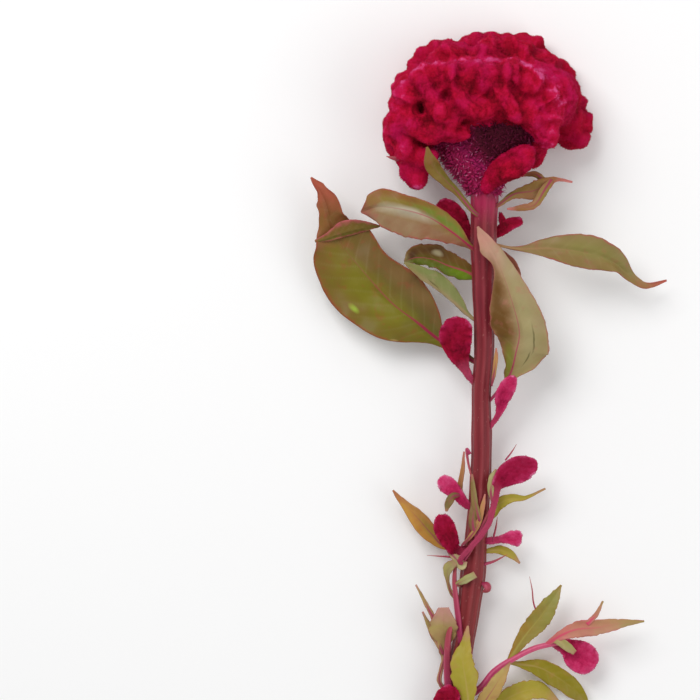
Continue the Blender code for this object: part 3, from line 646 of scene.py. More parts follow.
@dataclass(frozen=True)
class StemFinish:
    """Satin stem skin: grooves darkened by painted shade, ribs lightened by painted highlight, and fine
    streaks that run lengthwise.
    """

    name: str
    # the groove colour is painted shade and the rib colour a painted highlight
    groove_shade: str = "#661626"
    flank: str = "#7c202e"
    rib: str = "#923640"
    low: str = "#803424"
    collar: str = "#a8204e"
    cut: Point | None = None

    def _cut_end(self, kit: NodeKit, colour: bpy.types.NodeSocket) -> bpy.types.NodeSocket:
        """Lays the pale pith of the cut end over a colour.

        Args:
            kit: works on the material's tree.
            colour: the skin's colour.

        Returns:
            The colour with the cut end.
        """
        place = kit.add("ShaderNodeTexCoord").outputs["Object"]
        centre = tuple(value * MM for value in self.cut)
        away = kit.add("ShaderNodeVectorMath", {0: place, 1: centre}, operation="DISTANCE").outputs["Value"]
        share = kit.plus(kit.math("DIVIDE", away, 5.6 * MM), kit.times(kit.grain(0.8), 0.12))
        pith = kit.ramp(share, [(0.0, "#d9cfa8"), (0.6, "#c4bb8c"), (0.85, "#a3a36c"), (1.0, "#8a4a4a")])
        return kit.blend(kit.span(kit.value("along"), 0.9985, 0.9998), colour, pith)

    def material(self) -> bpy.types.Material:
        """The finish as a material, which reads the values ridge and along.

        Returns:
            The material.
        """
        made, kit, shader = shader_of(self.name)
        along = kit.value("along")
        streak = kit.sway(0.9, 1.6, 4.0, (1, 0.04, 1))
        place = kit.plus(kit.math("MULTIPLY_ADD", kit.value("ridge"), 0.55, 0.25), streak, clamp=True)
        # Painted shade in the grooves and painted highlight on the ribs, with lengthwise streaks.
        colour = kit.ramp(place, [(0.0, self.groove_shade), (0.5, self.flank), (1.0, self.rib)])
        lower = kit.plus(along, kit.sway(0.8, 26.0, 2.0, (1, 0.5, 1)), clamp=True)
        colour = kit.tint(colour, self.low, lower, 0.5)
        colour = kit.tint(colour, "#b87a74", kit.span(kit.grain(0.9, 2.0, (1, 0.35, 1)), 0.68, 0.74), 0.5)
        collar = kit.span(kit.plus(along, kit.times(streak, 0.03)), 0.055, 0.015)
        colour = kit.tint(colour, self.collar, collar, 0.8)
        if self.cut:
            colour = self._cut_end(kit, colour)
        bumps = kit.bump(kit.grain(0.9, 3.0, (1, 0.08, 1)), 0.2, 0.5)
        kit.put(shader, Base_Color=colour, Roughness=0.42, Specular_IOR_Level=0.25, Normal=bumps)
        return made


@dataclass(frozen=True)
class FloorFinish:
    """The plain pale floor."""

    name: str
    colour: str = "#fbfbfb"

    def material(self) -> bpy.types.Material:
        """The finish as a material.

        Returns:
            The material.
        """
        made, kit, shader = shader_of(self.name)
        kit.put(shader, Base_Color=linear(self.colour), Roughness=0.9)
        return made


@dataclass(frozen=True)
class Fold:
    """One rolled fold of the crest: a tube along a path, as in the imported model."""

    TIP_STEPS = 1.6
    TIP_LEAST = 0.35
    SWELL = 0.1
    LOBES = 0.07

    path: Sequence[Station]
    ruffles: float = 0.0
    swing: float = 0.0
    steps: int = 9
    sides: int = 8
    phase: float = 0.0

    def add_to(self, mesh: Mesh, finer: int, sides: int) -> None:
        """Adds the fold's tube to a mesh.

        Args:
            mesh: takes the tube.
            finer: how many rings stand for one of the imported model's.
            sides: how many corners a ring has.
        """
        count = (self.steps - 1) * finer + 1
        line = smooth(self.path, count)
        turn = np.linspace(0, 2 * math.pi, sides, endpoint=False)
        rings = []
        for i, (x, y, z, radius) in enumerate(line):
            share = i / (count - 1)
            along = Vector(line[min(i + 1, count - 1)][:3] - line[max(i - 1, 0)][:3]).normalized()
            side = along.cross(Vector((0.2, 0.3, 1.0))).normalized()
            out = side.cross(along).normalized()
            angle = 2 * math.pi * self.ruffles * share + self.phase
            sway = out * (self.swing * math.sin(angle)) + side * (0.6 * self.swing * math.cos(0.7 * angle))
            near = max(0.0, 1 - min(i, count - 1 - i) / finer / self.TIP_STEPS)
            rounding = max(self.TIP_LEAST, math.sqrt(1 - near**2))
            r = radius * rounding * (1 + self.SWELL * math.sin(2.3 * angle + 1.0))
            r *= 1 + self.LOBES * np.cos(3 * turn + angle)
            centre = np.array(Vector((x, y, z)) + sway)
            rings.append(centre + np.outer(r * np.cos(turn), side) + np.outer(r * np.sin(turn), out))
        mesh.add(np.concatenate(rings), ring_faces(count, sides))


@dataclass(frozen=True)
class Strip:
    """A thin waved strip of leaf or comb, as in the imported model.

    Each station has x, y and z on the midrib, and the width to the left and to the right of it, or one
    number for both.
    """

    stations: Sequence[tuple[float, ...]]
    tilt: tuple[float, float] = (10.0, 10.0)
    waves: float = 2.0
    wave_height: float = 0.8

    @property
    def half(self) -> float:
        """The strip's greatest width to one side."""
        return max(max(station[3:]) for station in self.stations)

    def sheet(self, step: float, ruffle: float, fray: float = 0.0) -> dict[str, np.ndarray]:
        """The strip's middle surface as a grid, with its values.

        Args:
            step: the size of a grid cell, in millimetres.
            ruffle: how far the margin's small waves rise.
            fray: how deep the margin's notches are, as a share of the width.

        Returns:
            The grid's points and the values along, across, reach and length.
        """
        midrib = [station[:3] for station in self.stations]
        length = np.linalg.norm(np.diff(smooth(midrib, 60), axis=0), axis=1).sum()
        rows = max(12, int(length / step))
        columns = 2 * max(4, int(self.half / step))
        line = smooth(midrib, rows)
        share = np.linspace(0, 1, rows)[:, None]
        s = np.linspace(1, -1, columns + 1)[None, :]
        places = np.stack([line[:, 0] + line[:, 1], share[:, 0] * 0, share[:, 0] * 0], 1)
        left, right = [
            smooth([station[k] for station in self.stations], rows)
            * (1 - fray * np.clip(0.3 + fractal(places, 2.4, 3, shift), 0, 1))[:, None]
            for k, shift in ((3, 3.0), (-1, 8.0))
        ]
        side, up = frame_of(line, (0, 0, 1))
        reach = np.where(s > 0, left, right) * np.abs(s)
        tilt = np.radians(np.where(s > 0, self.tilt[0], self.tilt[1]))
        size = np.minimum(1, np.maximum(left, right) / 3)
        turn = 2 * math.pi * self.waves * share
        small = np.sin(turn * 2.7 + 2.1 * s + midrib[0][0]) + 0.3 * np.sin(turn * 5.1 - 1.7 * s)
        wave = self.wave_height * np.sin(turn + 1.3 * s) * s**2
        wave = (wave + ruffle * small * s**4) * np.minimum(1, 4 * share) * size
        across = np.sign(s) * reach * np.cos(tilt)
        points = line[:, None, :] + side[:, None, :] * across[..., None]
        points = points + up[:, None, :] * (reach * np.sin(tilt) + wave)[..., None]
        spread = np.broadcast_to(s, across.shape)
        along = np.broadcast_to(share, across.shape)
        values = {"along": along, "across": -spread, "reach": reach, "length": np.array(length)}
        return {"points": points, **values}


def surface_out(points: np.ndarray) -> np.ndarray:
    """The upper side's way out at each point of a grid.

    Args:
        points: the grid's points.

    Returns:
        Unit vectors that point up.
    """
    along, across = np.gradient(points, axis=0), np.gradient(points, axis=1)
    out = np.cross(along, across)
    out /= np.maximum(np.linalg.norm(out, axis=2), 1e-9)[..., None]
    return out * np.where(out[..., 2:3] < 0, -1, 1)


def closed_sheet(mesh: Mesh, points: np.ndarray, half: np.ndarray, values: dict[str, np.ndarray]) -> None:
    """Adds a closed sheet to a mesh.

    Args:
        mesh: takes the sheet.
        points: the middle surface's grid.
        half: half the thickness at each point.
        values: named values at each point.
    """
    rows, columns = points.shape[:2]
    out = surface_out(points) * half[..., None]
    below = rows * columns
    index = np.arange(below).reshape(rows, columns)
    a, b = index[:-1, :-1].ravel(), index[:-1, 1:].ravel()
    c, d = index[1:, 1:].ravel(), index[1:, :-1].ravel()
    faces = np.concatenate([np.stack([a, b, c, d], 1), np.stack([d, c, b, a], 1) + below]).tolist()
    rim = [*index[0], *index[1:, -1], *index[-1, -2::-1], *index[-2:0:-1, 0]]
    faces += [(p, q, q + below, p + below) for p, q in zip(rim, [*rim[1:], rim[0]])]
    both = np.concatenate([(points + out).reshape(-1, 3), (points - out).reshape(-1, 3)])
    mesh.add(both, faces, **{k: np.tile(v.reshape(-1), 2) for k, v in values.items()})


class Tissue(Enum):
    """What a blade is made of."""

    LEAF = "leaf"
    COMB = "comb"


@dataclass(frozen=True)
class Blade:
    """A leaf, bract or side comb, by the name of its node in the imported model."""

    name: str
    slot: str
    strips: Sequence[Strip]
    modelled: bool = True

    @property
    def tissue(self) -> Tissue:
        """What the blade is made of."""
        return Tissue.COMB if self.slot.startswith("comb") else Tissue.LEAF


def on_root(piece: bpy.types.Object, slot: str, *nodes: str) -> bpy.types.Object:
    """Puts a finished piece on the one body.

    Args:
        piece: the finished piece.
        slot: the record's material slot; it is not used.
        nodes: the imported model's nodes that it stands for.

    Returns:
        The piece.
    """
    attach(piece, "root")
    if nodes:
        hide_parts(*nodes)
    LOG.info("%s: %d faces", piece.name, len(piece.data.polygons))
    return piece


class Growth(Growing):
    """What stands out of a surface over and over: a tree of Geometry Nodes with named inputs."""

    def __init__(self, name: str, inner: float = 0.0) -> None:
        """Builds the tree.

        Args:
            name: the tree's name.
            inner: how far a second, finer point stands out of each one, or 0 for none.
        """
        sizes = dict.fromkeys(("Spacing", "Length", "Girth", "Smallest", "Largest", "Lean"), "Float")
        super().__init__(name, {"Surface": "Geometry", "Finish": "Material", **sizes, "Seed": "Int"})
        kit, given = self.kit, self.given
        settings = {"Mesh": given["Surface"], "Distance Min": given["Spacing"], "Density Max": 4e7}
        settings["Seed"] = given["Seed"]
        spots = kit.add("GeometryNodeDistributePointsOnFaces", settings, distribute_method="POISSON")
        draw = kit.add("FunctionNodeRandomValue", {2: 0.0, 3: 1.0, "Seed": given["Seed"]}, data_type="FLOAT")
        marked = kit.marked(spots.outputs["Points"], "fleck", draw.outputs[1])
        shapes = [self._point(given["Length"], given["Girth"], 4)]
        if inner:
            shapes.append(self._point(kit.times(given["Length"], inner), kit.times(given["Girth"], 0.35), 3))
        joined = kit.add("GeometryNodeJoinGeometry")
        for shape in shapes:
            kit.join(joined.inputs[0], shape)
        limits = {2: given["Smallest"], 3: given["Largest"]}
        size = kit.add("FunctionNodeRandomValue", limits, data_type="FLOAT")
        back, lean = kit.times(given["Lean"], -1.0), given["Lean"]
        low = kit.add("ShaderNodeCombineXYZ", {0: back, 1: back, 2: -math.pi}).outputs[0]
        high = kit.add("ShaderNodeCombineXYZ", {0: lean, 1: lean, 2: math.pi}).outputs[0]
        turn = kit.add("FunctionNodeRandomValue", {0: low, 1: high, "Seed": 3}, data_type="FLOAT_VECTOR")
        bend = kit.add("FunctionNodeEulerToRotation", {0: turn.outputs[0]}).outputs[0]
        turns = {0: spots.outputs["Rotation"], 1: bend}
        stand = kit.add("FunctionNodeRotateRotation", turns, rotation_space="LOCAL")
        placing = {"Points": marked, "Instance": joined.outputs[0], "Rotation": stand.outputs[0]}
        placed = kit.add("GeometryNodeInstanceOnPoints", {**placing, "Scale": size.outputs[1]})
        kit.end(placed.outputs[0], given["Finish"])

    def _point(self, length: object, girth: object, corners: int) -> bpy.types.NodeSocket:
        """One small cone with the value tip, which runs from 0 at its foot to 1.

        Args:
            length: the cone's height.
            girth: its radius at the foot.
            corners: how many sides it has.

        Returns:
            The output socket.
        """
        sizes = {"Vertices": corners, "Side Segments": 1, "Radius Top": 0.0, "Radius Bottom": girth}
        cone = self.kit.add("GeometryNodeMeshCone", {**sizes, "Depth": length}, fill_type="NONE")
        place = self.kit.add("GeometryNodeInputPosition").outputs[0]
        height = self.kit.add("ShaderNodeSeparateXYZ", {0: place}).outputs[2]
        return self.kit.marked(cone.outputs[0], "tip", self.kit.math("DIVIDE", height, length))

    def over(
        self, surface: bpy.types.Object, name: str, finish: bpy.types.Material, **sizes: float
    ) -> bpy.types.Object:
        """Grows it over a surface.

        Args:
            surface: the object that carries it.
            name: the new piece's name.
            finish: the new piece's material.
            sizes: the tree's other inputs, with lengths in millimetres.

        Returns:
            The new piece as a plain mesh, without the surface.
        """
        made = linked(name, surface.data.copy())
        for label in ("Spacing", "Length", "Girth"):
            sizes[label] = float(sizes[label] * MM)
        self.run(made, {"Finish": finish, **sizes}).shade_smooth()
        return made


@dataclass
class Crest:
    """The velvet comb: folds over a core, evened into one skin, lumped and covered in papillae."""

    FRONT = 36.0
    folds: Sequence[Fold]
    core_centre: Point = (-1.5, 146.0, 29.0)
    core_half: Point = (46.0, 21.0, 23.5)
    core_bluntness: float = 0.7
    core_rows: int = 40
    core_sides: int = 48
    fold_finer: int = 4
    fold_sides: int = 24
    voxel: float = 0.7
    even_rounds: int = 15
    broad_rounds: int = 60
    lump_size: float = 7.5
    lump_rise: float = 1.05
    knob_size: float = 3.2
    knob_rise: float = 0.3
    swell_rise: float = 1.7
    bead_size: float = 1.5
    bead_rise: float = 0.25
    rim_line: Sequence[tuple[float, float]] = (
        (-55.5, 143.0), (-49.0, 152.0), (-34.5, 160.0), (-19.5, 163.0), (-4.5, 162.0), (5.5, 163.0),
        (20.5, 158.0), (29.5, 150.0), (34.5, 142.0),
    )
    rim_reach: float = 2.4
    calm_parts: Sequence[tuple[Point, float, float]] = (
        ((-38.0, 107.0, 36.0), 15.0, 0.3),
        ((7.0, 106.0, 38.0), 15.0, 0.7),
        ((40.0, 128.0, 20.0), 16.0, 0.5),
    )
    rest_height: float = 0.8
    tongue: Point = (6.0, 105.0, 38.0)
    tongue_reach: Point = (16.0, 14.0, 14.0)
    tongue_dark: float = 0.13
    papilla_spacing: float = 0.68
    papilla_length: float = 0.75
    finish: VelvetFinish = VelvetFinish("crest_velvet_fine")

    def _core(self, mesh: Mesh) -> None:
        """Adds the solid middle.

        Args:
            mesh: takes it.
        """
        rows, sides = self.core_rows, self.core_sides
        lift = math.pi * (np.arange(rows) + 0.5) / rows
        turn = np.linspace(0, 2 * math.pi, sides, endpoint=False)
        girth = np.sin(lift) ** self.core_bluntness
        centre, half = np.array(self.core_centre), self.core_half
        x = np.repeat((-half[0] * np.cos(lift))[:, None], sides, 1)
        y, z = half[1] * np.outer(girth, np.cos(turn)), half[2] * np.outer(girth, np.sin(turn))
        mesh.add((centre + np.stack([x, y, z], 2)).reshape(-1, 3), ring_faces(rows, sides))

    def _calm(self, points: np.ndarray) -> np.ndarray:
        """How much of the lumps each corner keeps: less on the plain parts and at the back.

        Args:
            points: the skin's corners.

        Returns:
            A share for each corner.
        """
        kept = 1 - 0.72 * np.clip((self.FRONT - points[:, 2]) / 12, 0, 1)
        for centre, reach, share in self.calm_parts:
            away = np.linalg.norm((points - np.array(centre)) / reach, axis=1)
            kept *= 1 - (1 - share) * np.clip(2.2 - 2 * away, 0, 1)
        return kept

    def _lumps(self, points: np.ndarray) -> list[np.ndarray]:
        """How far the skin's lumps, knobs and beads rise.

        Args:
            points: the skin's corners.

        Returns:
            The lumps, the knobs and the beads, each from 0 in its creases to 1.
        """
        sway = np.stack([fractal(points, 6, 2, k * 9.0) for k in (1, 2, 3)], 1)
        found = []
        for size, swayed in ((self.lump_size, 2.6), (self.knob_size, 1.4), (self.bead_size, 0.3)):
            moved = (points + swayed * sway) / size * np.array((1.0, 0.75, 1.0))
            cells = [noise.voronoi(Vector(p))[0] for p in moved]
            dome = np.array([1 - min(1.0, d[0] / 0.85) ** 1.7 for d in cells])
            gap = np.array([min(1.0, (d[1] - d[0]) / 0.6) for d in cells])
            found.append(0.75 * dome + 0.25 * np.sin(gap * math.pi / 2))
        return found

    def _pink_rim_and_highlight(self, points: np.ndarray, out: np.ndarray) -> np.ndarray:
        """How pink each corner is: most on the front lip's upper rim, partly its own pink and partly painted
        highlight, some at both ends, with painted highlight on sides that face up and left and painted sheen
        where the lower left lobe turns down.

        Args:
            points: the skin's corners.
            out: the way out at each.

        Returns:
            A value from 0 for each corner.
        """
        x, y, z = points.T
        front = np.clip((z - self.FRONT) / 5, 0, 1)
        line = smooth(self.rim_line, 80)
        away = np.sqrt(((points[:, None, :2] - line[None]) ** 2).sum(2).min(1))
        # The front lip's upper rim: partly its own pink, partly painted highlight.
        rim = 0.5 * np.exp(-((away / self.rim_reach) ** 2)) * front
        # Painted highlight on sides that face the key light, up and to the left.
        rim += 0.16 * np.clip(out @ np.array([-0.2, 0.92, 0.3]), 0, 1) ** 2
        rim += 0.22 * np.clip((-38 - x) / 6, 0, 1) * (0.4 + 0.6 * front)
        rim += 0.2 * np.clip((x - 14) / 8, 0, 1) * front
        # Painted sheen where the lower left lobe's skin turns away downwards.
        low_left = np.clip((108 - y) / 8, 0, 1) * np.clip((-25 - x) / 5, 0, 1)
        return rim + 0.5 * low_left * np.clip(-out[:, 1], 0, 1)

    def _shape(self) -> tuple[bpy.types.Object, np.ndarray]:
        """The evened and lumped skin.

        Returns:
            The object and a colour value for each corner, from painted shade in the skin's creases to pink
            on its ridges and rims, partly painted highlight.
        """
        mesh = Mesh()
        self._core(mesh)
        for fold in self.folds:
            fold.add_to(mesh, self.fold_finer, self.fold_sides)
        made = mesh.build("crest_skin")
        even = made.modifiers.new("even", "REMESH")
        even.mode = "VOXEL"
        even.voxel_size = self.voxel * MM
        skin = evaluated(made)
        points = evened(skin, coordinates(skin), self.even_rounds)
        broad = evened(skin, points, self.broad_rounds)
        put_points(skin, points)
        out = normals(skin)
        relief = ((points - broad) * out).sum(1)
        lumps, knobs, beads = self._lumps(points)
        kept = self._calm(points)
        swell = fractal(points, 11, 2, 40.0) * (0.7 + 0.6 * (points[:, 2] < self.FRONT))
        lift = kept * (self.lump_rise * (lumps - 0.75) + self.knob_rise * (knobs - 0.7))
        lift += self.bead_rise * (beads - 0.6) + self.swell_rise * (swell - 0.2)
        rest = points[:, 2] < self.rest_height
        points = np.clip(points + out * np.where(rest, 0.0, lift)[:, None], *box_of("crest"))
        put_points(skin, points)
        skin.shade_smooth()
        uneven = np.clip(0.6 + fractal(points, 4.5, 3, 70.0), 0.15, 1.2)
        # Painted shade and highlight: the colour value follows the skin's relief, lumps and knobs, dark in
        # the creases and light on the bumps.
        rise = 0.44 + 0.1 * relief + kept * (0.25 * (lumps - 0.65) + 0.14 * (knobs - 0.6))
        rise += self._pink_rim_and_highlight(points, out) * uneven
        tongue = np.linalg.norm((points - np.array(self.tongue)) / np.array(self.tongue_reach), axis=1)
        rise -= self.tongue_dark * np.clip(1.6 - tongue, 0, 1)
        # Painted shade and highlight on the beads as well.
        rise += 0.08 * (beads - 0.5)
        return made, np.clip(rise, 0, 1)

    def build(self) -> list[bpy.types.Object]:
        """Builds the comb.

        Returns:
            The skin and its papillae.
        """
        made, rise = self._shape()
        put_values(made.data, "rise", rise)
        finish = self.finish.material()
        made.data.materials.clear()
        made.data.materials.append(finish)
        fuzz = Growth("papillae").over(
            made, "crest_papillae", finish, Spacing=self.papilla_spacing, Length=self.papilla_length,
            Girth=0.3, Smallest=0.55, Largest=1.15, Lean=0.6, Seed=5,
        )
        keep_inside(fuzz, "crest")
        return [on_root(made, "crest_velvet", "crest"), on_root(fuzz, "crest_velvet")]


def keep_inside(piece: bpy.types.Object, node: str) -> None:
    """Moves a piece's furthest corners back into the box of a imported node."""
    put_points(piece.data, np.clip(coordinates(piece.data), *box_of(node)))


@dataclass
class FloretField:
    """The field of small pointed florets under the comb."""

    stations: Sequence[tuple[float, float, float, float, float]]
    heart: tuple[float, float] = (4.5, 125.0)
    heart_reach: tuple[float, float] = (15.0, 13.0)
    highest: float = 139.0
    rows: int = 60
    sides: int = 72
    finish: FloretFinish = FloretFinish("floret_papery")

    def build(self) -> list[bpy.types.Object]:
        """Builds the field.

        Returns:
            The bed and its florets.
        """
        rows, sides = self.rows, self.sides
        line = smooth(self.stations, rows)
        turn = np.linspace(0, 2 * math.pi, sides, endpoint=False)
        y, x, z, half_width, half_depth = [column[:, None] for column in line.T]
        grid = np.stack(
            [x + half_width * np.cos(turn), np.repeat(y, sides, 1), z + half_depth * np.sin(turn)], 2
        ).reshape(-1, 3)
        away = np.hypot(*((grid[:, :2] - np.array(self.heart)) / np.array(self.heart_reach)).T)
        spread = np.clip((away - 0.4) / 1.1, 0, 1)
        spread = np.where(grid[:, 2] > self.stations[0][2], spread, np.maximum(spread, 0.6))
        mesh = Mesh()
        mesh.add(grid, ring_faces(rows, sides), spread=spread)
        bed = mesh.build("floret_core")
        finish = self.finish.material()
        bed.data.materials.append(finish)
        sides_only = Mesh()
        shown = [r for r in range(rows - 1) if line[r + 1][0] < self.highest]
        faces = [f for f in ring_faces(rows, sides)[:-2] if f[0] // sides in shown]
        sides_only.add(grid, faces, spread=spread)
        carrier = sides_only.build("floret_carrier")
        florets = Growth("florets", 1.4).over(
            carrier, "florets", finish, Spacing=1.2, Length=2.9, Girth=0.68, Smallest=0.5, Largest=1.3,
            Lean=0.95, Seed=11,
        )
        bpy.data.objects.remove(carrier)
        return [on_root(bed, "floret_purple", "floret_bed"), on_root(florets, "floret_purple")]


@dataclass
class Stem:
    """The ribbed stem, swept along its path by Geometry Nodes."""

    stations: Sequence[Station]
    ribs: int = 8
    rib_depth: float = 0.055
    steps: int = 260
    sides: int = 96
    into_head: float = 3.0
    finish: StemFinish = StemFinish("stem_skin_fine", cut=(-22.5, -180.0, 5.2))

    def _sweep(self) -> Growing:
        """The tree that sweeps a ribbed profile along a line of corners.

        Returns:
            The tree.
        """
        kinds = {"Line": "Geometry", "Finish": "Material", "Ribs": "Int", "Rib Depth": "Float"}
        tree = Growing("ribbed_stem", {**kinds, "Sides": "Int"})
        kit, given = tree.kit, tree.given
        girth = kit.add("GeometryNodeInputNamedAttribute", {"Name": "girth"}, data_type="FLOAT").outputs[0]
        path = kit.add("GeometryNodeMeshToCurve", {0: given["Line"]}).outputs[0]
        ring = kit.add("GeometryNodeCurvePrimitiveCircle", {"Resolution": given["Sides"], "Radius": 1.0})
        place = kit.add("GeometryNodeInputPosition").outputs[0]
        where = kit.add("ShaderNodeSeparateXYZ", {0: place}).outputs
        wave = kit.math("COSINE", kit.times(kit.math("ARCTAN2", where[1], where[0]), given["Ribs"]))
        rise = kit.math("MULTIPLY_ADD", wave, given["Rib Depth"], 1.0)
        moved = kit.add("ShaderNodeVectorMath", {0: place, "Scale": rise}, operation="SCALE").outputs[0]
        marked = kit.marked(ring.outputs[0], "ridge", kit.math("MULTIPLY_ADD", wave, 0.5, 0.5))
        profile = kit.add("GeometryNodeSetPosition", {"Geometry": marked, "Position": moved}).outputs[0]
        swept = kit.add("GeometryNodeCurveToMesh", {0: path, 1: profile, "Scale": girth, "Fill Caps": True})
        kit.end(swept.outputs[0], given["Finish"])
        return tree

    def build(self) -> bpy.types.Object:
        """Builds the stem.

        Returns:
            The piece.
        """
        line = smooth(self.stations, self.steps)
        line[:, 3] *= 1 + 0.02 * np.sin(line[:, 1] / 9) + 0.015 * np.sin(line[:, 1] / 3.7 + 1)
        line = np.vstack([line[0] + np.array([0.0, self.into_head, 0.3, 0.0]), line])
        mesh = bpy.data.meshes.new("stem_line")
        mesh.from_pydata((line[:, :3] * MM).tolist(), [(i, i + 1) for i in range(len(line) - 1)], [])
        put_values(mesh, "girth", line[:, 3] * MM)
        made = linked("stem_skin_swept", mesh)
        sizes = {"Ribs": self.ribs, "Rib Depth": self.rib_depth, "Sides": self.sides}
        skin = self._sweep().run(made, {"Finish": self.finish.material(), **sizes})
        points = coordinates(skin)
        points[:, 1] = np.maximum(points[:, 1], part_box("stem")[0][1] / MM)
        points[:, 2] = np.maximum(points[:, 2], 0.0)
        put_points(skin, points)
        top, end = self.stations[0][1], self.stations[-1][1]
        put_values(skin, "along", np.clip((top - points[:, 1]) / (top - end), 0, 1))
        skin.shade_smooth()
        skin.set_sharp_from_angle(angle=math.radians(50))
        return on_root(made, "stem_skin", "stem")


def tube(mesh: Mesh, line: np.ndarray, sides: int, ribs: int, depth: float) -> None:
    """Adds a ribbed tube to a mesh, with the values ridge and along.

    Args:
        mesh: takes it.
        line: x, y, z and the radius at each ring.
        sides: how many corners a ring has.
        ribs: how many ribs run along it.
        depth: how far the ribs rise, as a share of the radius.
    """
    side, up = frame_of(line[:, :3], (0.05, 0.1, 1))
    turn = np.linspace(0, 2 * math.pi, sides, endpoint=False)
    ridge = 0.5 + 0.5 * np.cos(ribs * turn)
    r = line[:, 3:4] * (1 - depth / 2 + depth * ridge)
    grid = line[:, None, :3] + side[:, None, :] * (r * np.cos(turn))[..., None]
    grid = grid + up[:, None, :] * (r * np.sin(turn))[..., None]
    share = np.repeat(np.linspace(0, 1, len(line)), sides)
    mesh.add(grid.reshape(-1, 3), ring_faces(len(line), sides), ridge=np.tile(ridge, len(line)), along=share)


@dataclass
class Stalks:
    """Thin ribbed stalks, spines and buds, built as one piece."""

    name: str
    paths: Sequence[Sequence[Station]]
    finish: StemFinish
    steps: int = 26
    sides: int = 10
    ribs: int = 3
    rib_depth: float = 0.12
    nodes: tuple[str, ...] = ()

    def build(self) -> bpy.types.Object:
        """Builds them.

        Returns:
            The piece.
        """
        mesh = Mesh()
        for path in self.paths:
            tube(mesh, smooth(path, self.steps), self.sides, self.ribs, self.rib_depth)
        made = mesh.build(self.name)
        made.data.materials.append(self.finish.material())
        return on_root(made, "shoot_pink", *self.nodes)


@dataclass
class Foliage:
    """The leaves and bracts."""

    blades: Sequence[Blade]
    finishes: dict[str, LeafFinish]
    step: float = 0.75
    fine_step: float = 0.45
    narrow: float = 2.5
    half_thickness: float = 0.2
    rib_half: float = 1.0
    vein_half: float = 0.5
    fray: float = 0.13
    olive_fray: float = 0.039
    materials: dict[str, bpy.types.Material] = field(default_factory=dict)

    def _finish(self, blade: Blade) -> bpy.types.Material:
        """The blade's material, made the first time.

        Args:
            blade: the blade.

        Returns:
            The material.
        """
        finish = self.finishes.get(blade.name, self.finishes[blade.slot])
        if finish.name not in self.materials:
            self.materials[finish.name] = finish.material()
        return self.materials[finish.name]

    def _strip(self, mesh: Mesh, strip: Strip, fray: float) -> None:
        """Adds one strip with its rib and veins.

        Args:
            mesh: takes it.
            strip: the strip.
            fray: how deep the margin's notches are, as a share of the width.
        """
        half = strip.half
        step = self.step if half > self.narrow else self.fine_step
        sheet = strip.sheet(step, min(0.65, half / 14), fray)
        points, reach = sheet["points"], sheet["reach"]
        share, across = sheet["along"], sheet["across"]
        length = float(sheet["length"])
        spacing = min(7.5, max(2.6, length / 10))
        phase = (share * length - 0.85 * reach) / spacing + 0.31 * np.sign(across)
        off = np.abs(phase - np.round(phase)) * spacing
        vein = np.exp(-((off / self.vein_half) ** 2)) * (1 - np.abs(across) ** 3) * min(1.0, half / 4)
        rib = np.exp(-((reach / (self.rib_half * (1.12 - share) ** 2.6 + 0.12)) ** 2))
        swell = 0.5 + 0.5 * np.cos(2 * math.pi * phase)
        depth = min(0.13, half / 50)
        out = surface_out(points)
        crumple = fractal(points.reshape(-1, 3), 19.0, 2, 20.0).reshape(share.shape)
        crumple *= min(2.2, half / 6) * np.minimum(1, 5 * share) * np.minimum(1, reach / 2)
        points = points + out * crumple[..., None]
        relief = depth * ((1 - swell) * np.minimum(1, reach / 3) * (1 - across**2) - 0.7 * rib)
        points = points + out * relief[..., None]
        thick = self.half_thickness + 0.45 * rib * (1.1 - share)
        closed_sheet(mesh, points, thick, {"along": share, "across": across, "vein": vein, "rib": rib})

    def build(self) -> list[bpy.types.Object]:
        """Builds every leaf and bract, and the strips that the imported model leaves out.

        Returns:
            The pieces.
        """
        made = []
        for blade in self.blades:
            if blade.tissue is not Tissue.LEAF:
                continue
            mesh = Mesh()
            fray = self.olive_fray if blade.slot == "leaf_olive" else self.fray
            for strip in blade.strips:
                self._strip(mesh, strip, fray)
            piece = mesh.build(blade.name + "_blade")
            piece.data.materials.append(self._finish(blade))
            made.append(on_root(piece, blade.slot, *([blade.name] if blade.modelled else [])))
        return made


